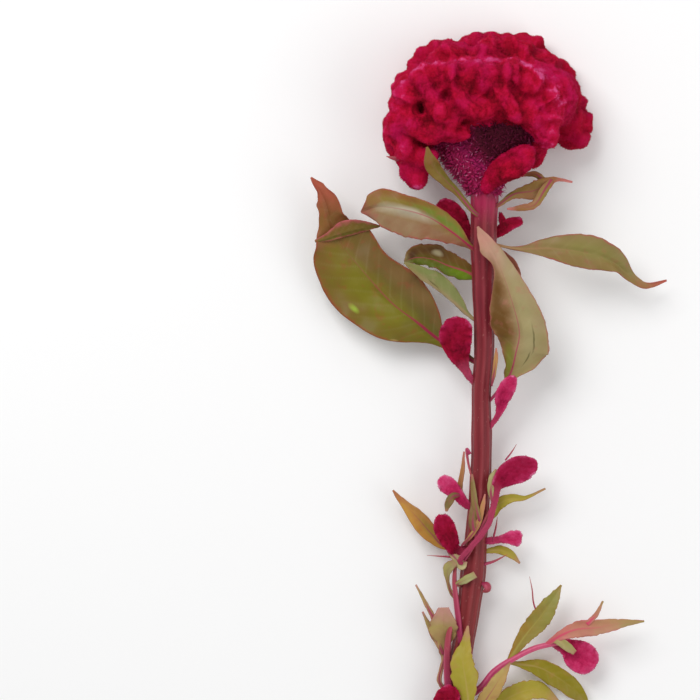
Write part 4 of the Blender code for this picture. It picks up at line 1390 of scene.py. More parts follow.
@dataclass
class SideCombs:
    """The small velvet combs on the stem, each with its papillae."""

    blades: Sequence[Blade]
    step: float = 0.6
    fine_step: float = 0.4
    narrow: float = 3.0
    half_thickness: float = 0.8
    thinnest: float = 0.12
    finishes: dict[str, VelvetFinish] = field(
        default_factory=lambda: {
            "comb_crimson": VelvetFinish(
                "side_comb_crimson", "#3c000c", "#66061a", "#92082a", "#a8143e", "#c84a7c", "#9a1040"
            ),
            "comb_pink": VelvetFinish(
                "side_comb_pink", "#700c30", "#a01644", "#c22a5e", "#d24a7c", "#e48cae", "#b41e4e"
            ),
            "comb_right_3": VelvetFinish(
                "side_comb_rose", "#500620", "#7c0c2c", "#a01440", "#b82c5c", "#d8709a", "#8e0e30"
            ),
        }
    )

    def _strip(self, mesh: Mesh, strip: Strip) -> None:
        """Adds one velvet strip, rounded and lumped.

        Args:
            mesh: takes it.
            strip: the strip.
        """
        half = strip.half
        sheet = strip.sheet(self.step if half > self.narrow else self.fine_step, min(0.9, half / 7))
        points, share, across = sheet["points"], sheet["along"], sheet["across"]
        end = np.sqrt(1 - np.clip((share - 0.9) / 0.1, 0, 1) ** 2 * 0.8)
        middle = points[:, points.shape[1] // 2][:, None]
        points = middle + (points - middle) * end[..., None]
        lumps = 0.6 * fractal(points.reshape(-1, 3), 4.5, 3).reshape(share.shape)
        thick = self.half_thickness * (0.3 + 0.7 * np.sqrt(1 - np.abs(across) ** 2.5)) * (1 + 0.5 * lumps)
        thick = np.maximum(thick, self.thinnest)
        points = points + surface_out(points) * (0.45 * lumps * np.minimum(1, sheet["reach"]))[..., None]
        ray = 0.05 * np.sin(across * 13 + 9 * share + 9 * lumps)
        # Painted shade and highlight: the colour value follows the lumps, dark in their hollows and light on
        # their tops; it also grows towards the rims and the end.
        rise = 0.34 + 0.25 * lumps + 0.28 * share**2 + 0.3 * np.abs(across) ** 4 + ray
        width = sheet["reach"].max(axis=1)[:, None] / half
        stalk = np.clip(1.5 - 2.6 * width, 0, 1) * np.clip((0.8 - share) / 0.1, 0, 1)
        closed_sheet(mesh, points, thick, {"rise": np.clip(rise, 0, 1), "stalk": stalk})

    def build(self) -> list[bpy.types.Object]:
        """Builds every side comb.

        Returns:
            The pieces.
        """
        growth = Growth("side_papillae")
        materials = {name: finish.material() for name, finish in self.finishes.items()}
        made = []
        for number, blade in enumerate(b for b in self.blades if b.tissue is Tissue.COMB):
            mesh = Mesh()
            for strip in blade.strips:
                self._strip(mesh, strip)
            piece = mesh.build(blade.name + "_velvet")
            material = materials.get(blade.name, materials[blade.slot])
            piece.data.materials.append(material)
            fuzz = growth.over(
                piece, blade.name + "_papillae", material, Spacing=0.6, Length=0.5, Girth=0.26,
                Smallest=0.6, Largest=1.2, Lean=0.5, Seed=20 + number,
            )
            made += [on_root(piece, blade.slot, blade.name), on_root(fuzz, blade.slot)]
        return made


@dataclass
class Studio:
    """The pale floor, the soft lights and the camera that looks straight down."""

    picture: int = 700
    pixel: float = 0.5
    right_of_frame: float = 489.0
    up_of_frame: float = 390.0
    plane: float = 20.0
    lens: float = 150.0
    sensor: float = 36.0
    floor_reach: float = 3000.0
    floor_height: float = -0.05
    sky: float = 0.52

    def _camera(self) -> None:
        """Adds the camera, with the photograph's framing."""
        middle = self.picture / 2
        x, y = (middle - self.right_of_frame) * self.pixel, (self.up_of_frame - middle) * self.pixel
        away = self.picture * self.pixel * self.lens / self.sensor
        data = bpy.data.cameras.new("camera")
        data.lens, data.sensor_width = self.lens, self.sensor
        data.clip_end = 20.0
        made = linked("camera", data)
        made.location = Vector((x, y, self.plane + away)) * MM
        bpy.context.scene.camera = made

    @staticmethod
    def _light(name: str, place: Point, target: Point, size: float, watts: float) -> None:
        """Adds one soft square light.

        Args:
            name: its name.
            place: where it is, in metres.
            target: where it points, in metres.
            size: its side, in metres.
            watts: its power.
        """
        data = bpy.data.lights.new(name, "AREA")
        data.size, data.energy = size, watts
        made = linked(name, data)
        made.location = place
        made.rotation_mode = "QUATERNION"
        made.rotation_quaternion = (Vector(target) - Vector(place)).to_track_quat("-Z", "Y")

    def build(self) -> None:
        """Builds the floor, lights, world and camera."""
        mesh = Mesh()
        signs = ((-1, -1), (1, -1), (1, 1), (-1, 1))
        corners = [(x * self.floor_reach, y * self.floor_reach, self.floor_height) for x, y in signs]
        mesh.add(np.array(corners), [(0, 1, 2, 3)])
        floor = mesh.build("floor")
        floor.data.materials.append(FloorFinish("floor_pale").material())
        self._light("key", (-0.55, 0.75, 1.15), (0, 0.05, 0), 0.8, 11.0)
        self._light("fill", (0.9, -0.3, 0.9), (0, 0, 0), 1.0, 4.0)
        world = bpy.data.worlds.new("studio")
        world.use_nodes = True
        world.node_tree.nodes["Background"].inputs[0].default_value = (1, 1, 1, 1)
        world.node_tree.nodes["Background"].inputs[1].default_value = self.sky
        bpy.context.scene.world = world
        bpy.context.scene.view_settings.view_transform = "Standard"
        self._camera()


# x, y, z of the stem's centre and its radius, from the head down to the cut end
STEM_STATIONS = [
    (-2.5, 97, 27.5, 6.7), (-3, 75, 25.8, 6.1), (-3, 50, 24, 5.3), (-2.5, 20, 21.5, 4.7),
    (-3.8, -0.5, 19.7, 4.6), (-3.6, -21, 17.9, 5), (-3.8, -38.5, 16.3, 4.9), (-5, -60, 14.5, 5.2),
    (-6.5, -78, 13, 5.6), (-7.8, -94, 11.6, 6), (-9.8, -110, 10.2, 5.5), (-12, -125, 8.9, 5.4),
    (-17.5, -155, 6.7, 5.5), (-22.5, -180, 5.2, 5.7),
]

# height y, centre x and z, half width in x and half depth in z of the bed that carries the florets
BED_STATIONS = [
    (97.4, -2.5, 27.5, 7, 6.6), (104, -3.5, 28, 10.5, 9), (112, -4.5, 28.5, 16.5, 11.5),
    (122, -3, 29, 23.5, 13.5), (132, -0.5, 29.5, 27, 14.5), (140, 0.5, 29, 22, 12), (145, 0.5, 29, 12, 7),
]

CREST_FOLDS = [
    # the crest's back lip, which lies on the surface
    Fold([(-42, 142, 13, 8.2), (-37, 155, 9.5, 8.6), (-30, 163.5, 8.5, 9), (-18, 168, 8.5, 9.3),
          (-5, 169.5, 9, 9.2), (8, 171, 9, 9.2), (20, 168.5, 8.5, 9.4), (28.5, 161, 9, 9.4),
          (36, 150, 10, 9.6), (42, 138, 11.5, 9.4), (42.5, 127.5, 13, 8.8)], 8.5, 1.9, 52, 8, 0.4),
    # the middle lip
    Fold([(-39, 143, 28, 8.5), (-32, 155, 28, 9), (-20, 163, 27, 9.4), (-4, 165, 27, 9.4),
          (12, 167.5, 27, 9.6), (24, 161, 27, 9.4), (33, 150, 27, 9.4), (39, 137, 26, 9)],
         6.5, 2.2, 34, 8, 2.0),
    # the front lip
    Fold([(-43, 121, 38, 7.5), (-45, 131, 42, 8), (-42, 142, 45, 8.2), (-35.5, 149.5, 47, 8.4),
          (-24.5, 153.5, 48, 8.6), (-11, 152.5, 49, 8.6), (2.5, 154, 49, 8.6), (14.5, 153, 47.5, 8.6),
          (24, 148, 44.5, 8.4), (28.5, 139.5, 42, 7.8), (27, 130, 41, 7)], 9.5, 1.9, 56, 8, 1.1),
    # folds at both ends, from the back lip round to the front one
    Fold([(-42, 142, 14, 8), (-46, 131, 20, 7.2), (-45, 120.5, 28, 7), (-42, 117, 36, 7)], 2, 1.2, 11),
    Fold([(43, 127, 15, 8), (37, 141, 22, 8.4), (33, 146, 33, 8), (26, 146, 42, 7)], 2, 1.2, 10),
    # folds that hang from the front lip
    Fold([(-30, 148, 50, 5.5), (-28, 139, 52, 6.2), (-21.5, 133, 52, 5.8), (-15, 135, 50, 5)], 1, 0.8),
    Fold([(-17, 149, 51, 5.2), (-12.5, 140, 53, 6), (-5, 136.5, 53, 5.8), (0.5, 141, 51, 5)], 1, 0.8),
    Fold([(3, 149, 51, 5.2), (8, 139.5, 52, 6), (13.5, 134, 50, 5.6), (18, 138, 48, 5)], 1, 0.8),
    Fold([(-43, 138, 46, 5.6), (-38, 130, 49, 6.4), (-29, 126.5, 49, 6.2), (-20, 128, 47, 5)],
    1.4, 0.9, 10),
    Fold([(-46, 128, 40, 5.6), (-42, 119, 42, 6.4), (-34, 114.5, 41, 5.8), (-27, 118, 38, 4.8)],
    1.4, 0.9, 10),
    Fold([(18, 143, 47, 5.6), (19.5, 133, 47, 6), (27, 126, 42, 6.2), (29, 120.5, 37, 5.2)], 1.4, 0.9, 10),
    # a small lobe over the top left of the floret field
    Fold([(-28, 134, 47, 5.4), (-22, 128, 46.5, 5.6), (-15.5, 126, 45.5, 5), (-11, 129.5, 45, 4)], 1, 0.6),
    # the back lip's rounded end
    Fold([(42.6, 131, 13, 8.4), (42.2, 125.5, 13.5, 8.2), (41.4, 121, 14, 6.4)], 0, 0, 5),
    # what closes the creases between the back lip and the others, and above the lower left lobe
    Fold([(-35, 151, 19, 5.6), (-25, 159, 18, 5.8), (-12, 163, 18, 5.8), (2, 164, 18, 5.8),
          (16, 162, 18, 5.8), (28, 154, 18, 5.6), (35, 143, 18.5, 5.4)], 1, 0.5),
    Fold([(-44, 127, 33, 6), (-41, 121, 33.5, 6.2), (-38, 114.5, 34, 6)], 0, 0, 6),
    # the lobe at the lower left and the small ones at the lower right
    Fold([(-38, 118, 34, 6), (-37.5, 110, 35, 7), (-37, 103, 35, 5.2), (-38, 99.5, 35, 3)], 0, 0, 8),
    Fold([(26, 126, 30, 6.5), (23, 118, 31, 6), (17, 114, 34, 5.4), (14, 110, 36, 4)], 1, 0.8),
    # the smooth tongue that runs down over the florets to the neck
    Fold([(22, 119, 39, 5), (14, 112.5, 42, 6.8), (6, 108.5, 41.5, 6.2), (0, 102.5, 38.5, 4.6),
          (-2.5, 96, 35.8, 2.4)], 0, 0, 11),
    # folds of the back, partly pressed on the surface
    Fold([(-33, 150, 8, 5.5), (-30, 138, 5.5, 6.4), (-22, 131, 6, 6), (-14, 136, 8, 5)], 1, 0.8),
    Fold([(-11, 158, 8, 5.5), (-6, 146, 5.5, 6.6), (4, 141, 5.5, 6.2), (10, 147, 8, 5)], 1, 0.8),
    Fold([(19, 156, 8, 5.5), (21, 144, 5.5, 6.6), (30, 134, 6, 6.2), (31, 125, 9, 5)], 1, 0.8),
    Fold([(-42, 134, 15, 6), (-38, 124, 13, 6.2), (-30, 119, 13, 5.6), (-24, 123, 13, 4.8)], 1, 0.8),
]

BLADES = [
    Blade("leaf_upper_left", "leaf_olive", [Strip([
        (-5, 68, 26, 0.8), (-11, 72.5, 29.5, 2, 1.6), (-19, 78.5, 33, 6.5, 5.5), (-30, 85.5, 35, 12, 7),
        (-42.5, 89.5, 34, 13, 7.5), (-55, 91, 31, 9.5, 9), (-64, 88.5, 28, 0.5)], (-8, 14), waves=2.5,
        wave_height=1)]),
    Blade("leaf_large_left", "leaf_olive", [Strip([
        (-4, 12, 18.5, 0.8), (-24.5, 25, 16, 3.5, 5), (-36, 34, 17, 13, 14.5), (-49, 44, 18, 20, 19.5),
        (-62, 58.5, 17.5, 23, 14.5), (-72.5, 71.5, 16, 18, 16), (-78.5, 84, 18, 7, 8),
        (-82, 95, 22, 3.5, 6), (-89, 106, 25, 0.4)], (-6, 10), waves=3, wave_height=1.4)]),
    Blade("leaf_curled_left", "leaf_lime", [Strip([
        (-5, 56, 23, 1), (-12, 59.5, 22.5, 5), (-20, 62, 23, 5, 7.5), (-29, 65.5, 24, 4, 8.5),
        (-37, 66, 25, 3.5, 7), (-42.5, 64, 25, 0.5)], (-10, 24))]),
    Blade("leaf_narrow_left", "leaf_lime", [Strip([
        (-4, 33, 22, 0.8), (-10.5, 37.5, 22, 0.9, 1.2), (-17.5, 44, 23, 1, 5), (-25, 50.5, 24, 1.2, 6.5),
        (-34, 57.5, 26, 2, 4.5), (-42.5, 63.5, 29, 0.4)], (0, -8), waves=1.5, wave_height=0.5)]),
    Blade("leaf_right", "leaf_olive", [Strip([
        (0, 73, 26, 0.8), (13.5, 70.5, 28, 1), (27.5, 70.5, 29, 5, 4.5), (40, 69.5, 29.5, 8.5, 7.5),
        (52.5, 67, 28, 9.5, 7.5), (62.5, 63, 25, 6.5, 4.2), (71, 56.5, 20, 2.6), (79, 52.5, 16, 1.4, 1.8),
        (89.5, 55, 13, 0.4)], (8, 6), wave_height=1)]),
    Blade("leaf_front", "leaf_olive", [Strip([
        (-2, -8, 19.5, 0.8), (6, 1, 20.5, 0.9), (10.5, 8, 24, 2.5, 4), (13, 18.5, 29, 7.5, 15.5),
        (14.5, 29, 32, 13, 14), (11, 43, 35, 12, 11), (5, 60, 37, 4, 6.5), (-1, 72, 37.5, 5, 3.5),
        (-6.5, 81, 38, 0.4)], (-14, 6), waves=2.5, wave_height=1)]),
    Blade("leaf_behind_right", "leaf_blush", [Strip([
        (0, 72, 21, 0.8), (6, 68, 20, 2, 2.4), (10.5, 62, 19, 4, 4.4), (13, 54, 18, 3.6, 3.4),
        (13.5, 46, 16, 0.4)], (8, 8))]),
    Blade("leaf_hooked", "leaf_blush", [
        Strip([
            (-1, 89, 27, 0.7), (5, 92.6, 29, 1, 1.2), (12, 97.4, 30.4, 1.8, 2.4), (21.5, 99, 31, 4.5),
            (27.5, 102, 31, 4, 3.2), (33, 104.5, 30, 1.4, 1), (41, 103.5, 29, 0.4)], (14, 6)),
        Strip([
            (30.5, 104.5, 30.6, 1.2), (27, 99.5, 32.5, 2.2), (22, 92, 33, 1.8, 2.2), (15.5, 90.5, 32, 1.6),
            (8.5, 90, 30, 0.4)], (6, 6)),
        Strip([
            (27, 104, 30.6, 1.5), (22.5, 107.3, 29.5, 1.6), (16, 106.8, 27.5, 0.5)], (4, 4)),
    ]),
    Blade("leaf_under_head", "leaf_lime", [Strip([
        (-4.5, 86, 30, 0.9), (-9.5, 89.5, 35, 1.2), (-17, 98, 42, 1.8), (-23.5, 104, 49, 3, 2.6),
        (-29.5, 110.5, 54, 3.8, 3.6), (-32, 119, 57, 0.5)])]),
    Blade("bract_left_orange", "leaf_blush", [Strip([
        (-6.5, -81, 11, 0.8), (-21.5, -79, 10, 1.6), (-28.5, -72.5, 11, 4.5, 4), (-35, -65, 12, 4.6, 4),
        (-41.5, -58, 12.5, 2.4, 2), (-48, -50.5, 12, 0.4)], (8, 8))]),
    Blade("bract_left_thin", "leaf_blush", [Strip([
        (-4.5, -62, 12, 0.7), (-12, -57, 10.5, 1.3), (-14.2, -50, 11, 1.5), (-13, -40, 12.5, 1, 1.2),
        (-12.2, -31, 13.5, 0.4)], (14, 14))]),
    Blade("bract_stem_front", "leaf_lime", [Strip([
        (-3.5, -68, 17, 0.8), (-5, -64.5, 21.6, 1.2), (-7, -56.5, 22.6, 1.8, 1.6),
        (-8, -48, 22.2, 1.4, 1.2), (-8.6, -42, 23, 0.4)], (-16, -16))]),
    Blade("bract_right_green", "leaf_lime", [Strip([
        (-3, -68, 13, 0.8), (2.5, -63, 14, 1.3), (5, -57.5, 15.5, 3), (11, -54.5, 16.5, 2.6, 2.2),
        (18.5, -54, 16.5, 1.1), (28.5, -49.5, 16, 0.4)])]),
    Blade("bract_right_lower", "leaf_lime", [Strip([
        (-4, -82, 11, 0.8), (2, -80.8, 11.5, 1.8, 1.4), (6.5, -80.8, 11.8, 2.5, 2.2), (11.5, -82.8, 11, 2),
        (16, -87.5, 9, 0.4)], (12, 12))]),
    Blade("bract_pale_left", "leaf_lime", [Strip([
        (-11, -108, 10, 0.9), (-18, -103, 10.5, 1), (-20.6, -95, 13, 1), (-20, -89.5, 16.5, 3, 2.2),
        (-17, -86.5, 20, 2.2, 1.6)], (8, 8))]),
    Blade("bract_across_stem", "leaf_lime", [Strip([
        (-10, -99, 10, 0.8), (-15.6, -97.5, 15.6, 1.1), (-12, -95, 19.6, 1.8, 2), (-7, -92, 20.8, 1.6, 2)],
        (-8, -8))]),
    Blade("leaf_left_shoot", "leaf_lime", [
        Strip([
            (-18, -154, 8, 0.9), (-24.4, -147, 9, 1.2), (-22.4, -136, 9.6, 1.2), (-22, -127, 11.5, 4, 3.6),
            (-22.5, -119, 15, 8, 7.4), (-22.5, -109, 17.5, 3, 2.6)]),
        Strip([
            (-22.6, -133, 10.4, 0.8), (-27.5, -123, 12, 1.8, 1.4), (-33, -111.5, 12.5, 0.4)], (8, 8)),
        Strip([
            (-27.5, -114.5, 16.6, 1.4), (-31.5, -107, 18, 1), (-36.5, -97.5, 18, 0.4)], (8, 8)),
    ]),
    Blade("leaf_low_front", "leaf_lime", [Strip([
        (-14, -163, 9, 0.9), (-10.4, -157.5, 15, 2.4), (-11.5, -146, 18.5, 7, 6.4),
        (-13, -136, 19.5, 6.4, 5.6), (-11.5, -127, 18.5, 3, 2.6), (-10.5, -118, 18, 0.4)], (-8, -8))]),
    Blade("leaf_low_middle", "leaf_blush", [Strip([
        (-15, -167, 7.5, 0.9), (-6, -162, 11, 3.6), (1, -152, 15, 4.6), (6, -144, 16, 3),
        (11, -136.5, 15.5, 0.4)], (8, 8))]),
    Blade("leaf_low_right", "leaf_lime", [Strip([
        (-17, -172, 6, 0.9), (-2, -164.5, 5, 2), (12.5, -154.5, 6, 5), (25, -151.5, 6.5, 4.6),
        (37, -158.5, 4, 0.4)], (6, 6))]),
    Blade("leaf_shoot_upright", "leaf_lime", [Strip([
        (10, -136.5, 11, 0.7), (18, -124, 13.5, 4), (25.5, -114.5, 15, 5.2, 6), (31.5, -106, 15, 3.5, 4),
        (36.5, -98, 14, 0.4)])]),
    Blade("leaf_shoot_tip", "leaf_blush", [
        Strip([
            (28, -128.6, 13, 0.7), (36, -123, 17.5, 2.4), (44, -119.8, 18.5, 4, 4.4),
            (53.5, -119, 18.5, 4.2, 4), (65, -117, 17.5, 2.4, 2.6), (78, -116, 16, 0.4)], (8, 8)),
        Strip([
            (49, -117, 18.6, 1.4), (53.5, -112.5, 19.5, 1.2), (57, -105.5, 20, 0.4)], (6, 6)),
    ]),
    Blade("leaf_shoot_low", "leaf_lime", [Strip([
        (9, -137, 10, 0.7), (17, -138.5, 8.5, 1.8), (26, -140, 9, 4.4, 4.8), (36, -145.5, 9.5, 5.4, 5.8),
        (45, -152.5, 8, 4, 4.2), (51.5, -160.5, 5, 0.4)], (6, 6))]),
    Blade("comb_left_1", "comb_crimson", [Strip([
        (-6, 71, 22, 1.5), (-11.5, 77.5, 21.5, 3.4), (-16, 84.5, 22, 5, 5.6), (-21.5, 90.5, 22.5, 5, 5.4),
        (-25.5, 93.5, 23, 2.6)], waves=2.5)]),
    Blade("comb_right_1", "comb_crimson", [
        Strip([
            (-1, 76, 22.5, 1.6), (5.5, 79.5, 22, 2.8), (10.5, 83, 22.5, 3, 3.2), (16.5, 84.5, 23, 2)]),
        Strip([
            (9.5, 81.5, 22.4, 1.6), (6.6, 84.5, 23.2, 1.8), (5.5, 88.5, 24, 0.8)], (6, 6)),
    ]),
    Blade("comb_left_2", "comb_crimson", [Strip([
        (-5, 0, 19.5, 1.1), (-11.8, 10, 21, 2.2), (-15, 19, 24.5, 6.5, 5.5), (-16.2, 27.5, 28, 9, 7.5),
        (-14.5, 36, 30, 5, 6)], (-6, 8), waves=2.5)]),
    Blade("comb_right_2", "comb_pink", [Strip([
        (-2, -22, 18, 1.1), (4.6, -12, 22, 1.5), (6.5, -3.5, 27, 3.8, 4), (9.5, 3, 30, 3.8, 4),
        (12.4, 6.6, 31.5, 1.6, 1.8)], (8, 8))]),
    Blade("comb_right_3", "comb_pink", [Strip([
        (-8.5, -88, 14.5, 0.9), (-14.4, -85.6, 18.5, 1.1), (-9, -78, 23, 1.2), (-1, -68, 22.8, 1.3),
        (2.4, -57, 21.4, 1.5), (3.6, -48.5, 21.5, 2.6), (8.5, -43, 22.5, 5.8, 5.4),
        (15, -39.6, 23.5, 6.8, 6.6), (20.6, -39, 24, 5.4, 5.2), (23.4, -40, 24, 2.6)], (6, 6), waves=1.5,
        wave_height=0.5)]),
    Blade("comb_left_3", "comb_pink", [Strip([
        (-5.5, -60, 15, 1.3), (-11, -57.5, 15.5, 2), (-16, -52, 17, 3.2), (-21, -47.4, 18, 4.4),
        (-25, -44.6, 18.5, 2.6, 2.8)], (8, 8))]),
    Blade("comb_left_4", "comb_crimson", [Strip([
        (-8, -79, 13.5, 1.2), (-16, -80.4, 16, 2.6), (-19.6, -75, 18.5, 4.6), (-22.4, -68.4, 20, 5.4),
        (-23.4, -62.4, 20.5, 3.4)], (8, 8), waves=2.5)]),
    Blade("comb_right_4", "comb_pink", [Strip([
        (-4.5, -76, 13.5, 1.5), (2, -75.6, 15, 1.7), (6.5, -74.8, 16, 1.9), (11, -74, 17, 3.2, 3.4),
        (16.4, -74.4, 17.6, 4.4, 4.8)], (8, 8))]),
    Blade("comb_shoot", "comb_pink", [Strip([
        (32, -128, 12.5, 0.9), (39, -129.6, 12, 4.4, 4.2), (44, -132.6, 12.6, 7.6), (49.5, -136, 13, 7.6),
        (54, -138.5, 13, 4.2)], (8, 8))]),
    Blade("comb_low_left", "comb_crimson", [Strip([
        (-21, -175, 8.5, 1.2), (-24, -167, 13, 3.6), (-22, -159, 16.5, 6.4, 5.6),
        (-19.6, -152.6, 18, 6, 5.4), (-18, -148.6, 18.5, 3)], (-8, -8), waves=2.5)]),
]
# a small bract that grows out of the comb behind it
COMB_BRACT = Blade("bract_on_comb", "leaf_olive", [Strip([
    (-14.5, -52.5, 17, 0.7), (-18.2, -53.2, 20.6, 1.8), (-20.4, -56.6, 22.6, 1.9),
    (-21.6, -60.4, 24.5, 0.5)], (8, 8))])


SHOOT_FINISH = StemFinish("shoot_skin", "#b03066", "#cc4a7c", "#dd7496", "#cc6070", "#b83468")
# x, y, z and radius of the side shoot's stalk
SHOOT_PATH = [
    (-15, -158, 7.4, 1.7), (-4, -150.5, 9, 1.7), (3, -142, 10, 1.6), (12.5, -135.4, 11.5, 1.5),
    (23, -130, 13, 1.4), (32.5, -127.6, 13.6, 1.3), (35, -127.4, 13.6, 1.1),
]

LEAF_FINISHES = {
    "leaf_olive": LeafFinish("leaf_olive_green", "#757030", "#7b7832", "#7e6e34", "#867840"),
    "leaf_lime": LeafFinish(
        "leaf_lime_green", "#a09630", "#a89c34", "#aa9a38", "#b09a40", "#b8886a", "#b07250", "#b09a50",
    ),
    "leaf_blush": LeafFinish(
        "leaf_flushed", "#a88a48", "#b08e4a", "#ba8450", "#c0825c", "#cc8078", "#c06468",
    ),
    "leaf_upper_left": LeafFinish(
        "leaf_upper_left_green", "#864c30", "#7c782a", "#98805e", "#8c7234", "#98584a", "#ac4046",
        # the first patch, pale in the middle of the blade, is a painted sheen along its fold
        "#a41c4a", 0.85, margin_width=0.11, patches=(Patch("#b8ae98", 0.66, 0.02, 0.2, 0.32),
        Patch("#6a822a", 0.4, 0.4, 0.25, 0.28), Patch("#8c5a2c", 0.7, 0.8, 0.2, 0.25)),
    ),
    "leaf_large_left": LeafFinish(
        "leaf_large_olive", "#6e6a18", "#626026", "#80582c", "#785426", "#a85440", "#98382e", "#9c1a46",
        0.62, 0.64, margin_width=0.1, patches=(Patch("#7a7418", 0.4, -0.25, 0.28, 0.45),
        Patch("#7c5c34", 0.35, 0.75, 0.3, 0.35), Patch("#9cba3c", 0.44, -0.72, 0.02, 0.07),
        Patch("#b0a860", 0.28, -0.95, 0.015, 0.04)),
    ),
    "leaf_curled_left": LeafFinish(
        "leaf_curled_green", "#586a12", "#6a4e18", "#5c6220", "#745228", "#8a7a50", "#8e4438", "#a83e50",
        1.4, patches=(Patch("#68840c", 0.22, -0.4, 0.2, 0.5), Patch("#523414", 0.6, 0.6, 0.2, 0.35),
        Patch("#b0a480", 0.56, 0.5, 0.06, 0.2), Patch("#4c2a1c", 0.86, 0.3, 0.1, 0.5)),
    ),
    "leaf_narrow_left": LeafFinish(
        "leaf_grey_green", "#a4947a", "#848652", "#8a7a40", "#7c8448", "#8a8050", "#b08c78", "#a08860",
    ),
    "leaf_right": LeafFinish(
        "leaf_right_olive", "#8e764c", "#8c7246", "#90844c", "#8e7840", "#b8564c", "#ac4650", "#a07a54",
        0.5, 0.74, margin_width=0.11, patches=(Patch("#8a8244", 0.5, -0.2, 0.2, 0.5),),
    ),
    "leaf_large_fold": LeafFinish(
        "leaf_large_fold_green", "#7e5828", "#6c6620", "#6c5a1e", "#6a561e", "#6a5020", "#c05464",
        "#8a6a40", 0.2, 0.9, margin_width=0.5,
    ),
    "leaf_front": LeafFinish(
        "leaf_front_folded", "#785420", "#948650", "#ac8462", "#aa9572", "#be8878", "#b05c5a", "#a42c58",
        0.8, patches=(Patch("#68461a", 0.55, -0.65, 0.28, 0.55, 0.95),
        Patch("#7c8030", 0.3, -0.45, 0.16, 0.4), Patch("#a8a070", 0.5, 0.3, 0.25, 0.4, 0.5),
        Patch("#c49a88", 0.86, 0.0, 0.12, 1.0, 0.6), Patch("#4e4c24", 0.46, 0.5, 0.07, 0.035, 0.7),
        Patch("#54502a", 0.36, 0.42, 0.05, 0.03, 0.7)),
    ),
    "leaf_under_head": LeafFinish(
        "leaf_under_head_olive", "#8a7a34", "#787a28", "#7a5620", "#704e1a", "#8a6a34",
    ),
    "leaf_hooked": LeafFinish(
        "leaf_hooked_flushed", "#8c8234", "#988244", "#98583e", "#a4604e", "#c87a74", "#bc6064",
    ),
    "leaf_behind_right": LeafFinish("leaf_behind_brown", "#8a4a3c", "#844234", "#8e543c", "#864a34"),
    "leaf_shoot_low": LeafFinish(
        "leaf_shoot_low_green", "#948222", "#8e841c", "#8c821c", "#8a7a26", "#a08a50", "#b07a50", "#a08a48",
    ),
    "leaf_shoot_upright": LeafFinish(
        "leaf_shoot_upright_green", "#a0742c", "#94803a", "#8a8c40", "#929048", "#a4864c", "#a8783c",
        "#a09248",
    ),
    "leaf_shoot_tip": LeafFinish(
        "leaf_shoot_tip_flushed", "#cc6a6c", "#d07074", "#ac8e5c", "#b09466", "#a08e50", "#c46470",
        "#d04a68", 0.7, 0.8,
    ),
    "shoot_bract": LeafFinish(
        "shoot_bract_pale", "#b0985c", "#a89a5e", "#a09c60", "#a4986a", "#b08a68", "#b49a78", "#ac9c68",
    ),
    "bract_stem_front": LeafFinish("bract_brown_olive", "#86703e", "#8c7a48", "#886c40", "#968454"),
    "stem_bract_high": LeafFinish("bract_brown", "#7e5c3c", "#84643c", "#886c44", "#8c7448"),
    "stem_bract_pale": LeafFinish("bract_pale", "#a09a62", "#a69e68", "#a8a06c", "#aca270", "#b08a6a"),
    "bract_across_stem": LeafFinish(
        "bract_across_pale", "#a09a58", "#a69e64", "#a4a26a", "#a8a474", "#b08a6a",
    ),
    "bract_pale_left": LeafFinish("bract_left_pale", "#a89a50", "#a8985a", "#a89c62", "#a8a06c", "#b08a6a"),
    "bract_cream": LeafFinish("bract_cream_pale", "#b8a878", "#b0a06c", "#a8a070", "#b8b080", "#c08a78"),
    "bract_on_comb": LeafFinish("bract_on_comb_brown", "#80603c", "#7c643c", "#7a6a38", "#74683a"),
    "leaf_low_middle": LeafFinish("leaf_low_middle_pale", "#b88c50", "#b4944c", "#b8a664", "#b8965e"),
    "leaf_left_shoot": LeafFinish(
        "leaf_left_shoot_pale", "#b8866a", "#b08662", "#a89856", "#98844e", "#c08a80",
    ),
    "bract_left_orange": LeafFinish(
        "bract_orange", "#ba863a", "#ae7c40", "#c49040", "#b88444", "#a86a44", "#a85840",
        patches=(Patch("#8c8430", 0.45, 0.2, 0.2, 0.5, 0.6),),
    ),
}

SPRIG_FINISH = StemFinish("sprig_skin", "#88204c", "#a43058", "#c05478", "#b0603c", "#98284c")
# spines, buds and peduncles: x, y, z and radius along each
SPRIGS = [
    [(8, -35, 23.5, 0.45), (11, -31, 24.5, 0.35), (13.5, -27, 25, 0.08)],
    [(2, -76, 15.5, 0.6), (3.6, -69, 16.5, 0.45), (4.4, -63.5, 17, 0.1)],
    [(-3.5, -88, 14, 0.9), (3, -86, 14.5, 0.6), (9.5, -82.6, 14.5, 0.12)],
    [(-15, -84, 14.5, 0.7), (-22, -83.6, 15, 0.45), (-31, -83, 15, 0.08)],
    [(25, -113.5, 15.2, 0.5), (22.6, -107, 16, 0.4), (21.8, -100, 16.4, 0.3), (20.5, -93.5, 16.4, 0.08)],
    [(-42, 115.5, 34, 1.8), (-47, 115, 34.5, 1.3), (-51.5, 115.8, 35, 0.15)],
    [(-3.6, -97, 15, 0.5), (-1.2, -98, 16.2, 1.9), (-0.8, -100, 16.4, 1.7), (-2.8, -101.5, 15, 0.4)],
    [(-13.5, -128, 14, 1.5), (-15.6, -110, 14.5, 1.5), (-17, -97, 15, 1.2), (-16.6, -86, 15.5, 0.8)],
    [(-20, -150, 12.5, 1.9), (-20.6, -138, 12.5, 1.8), (-20, -124, 14.5, 1.5), (-18, -117, 15, 0.9)],
    [(-9.5, -32, 21.5, 0.9), (-11.2, -29.6, 21, 0.8), (-10.5, -36, 20, 0.6), (-8.6, -44, 19.5, 0.5)],
    [(-6, -72, 19, 1), (-2.5, -66, 20, 0.9), (0.5, -60, 19.5, 0.5)],
    [(-14, -88, 16.5, 0.8), (-10, -82, 19, 0.7), (-6.5, -77, 20, 0.2)],
]

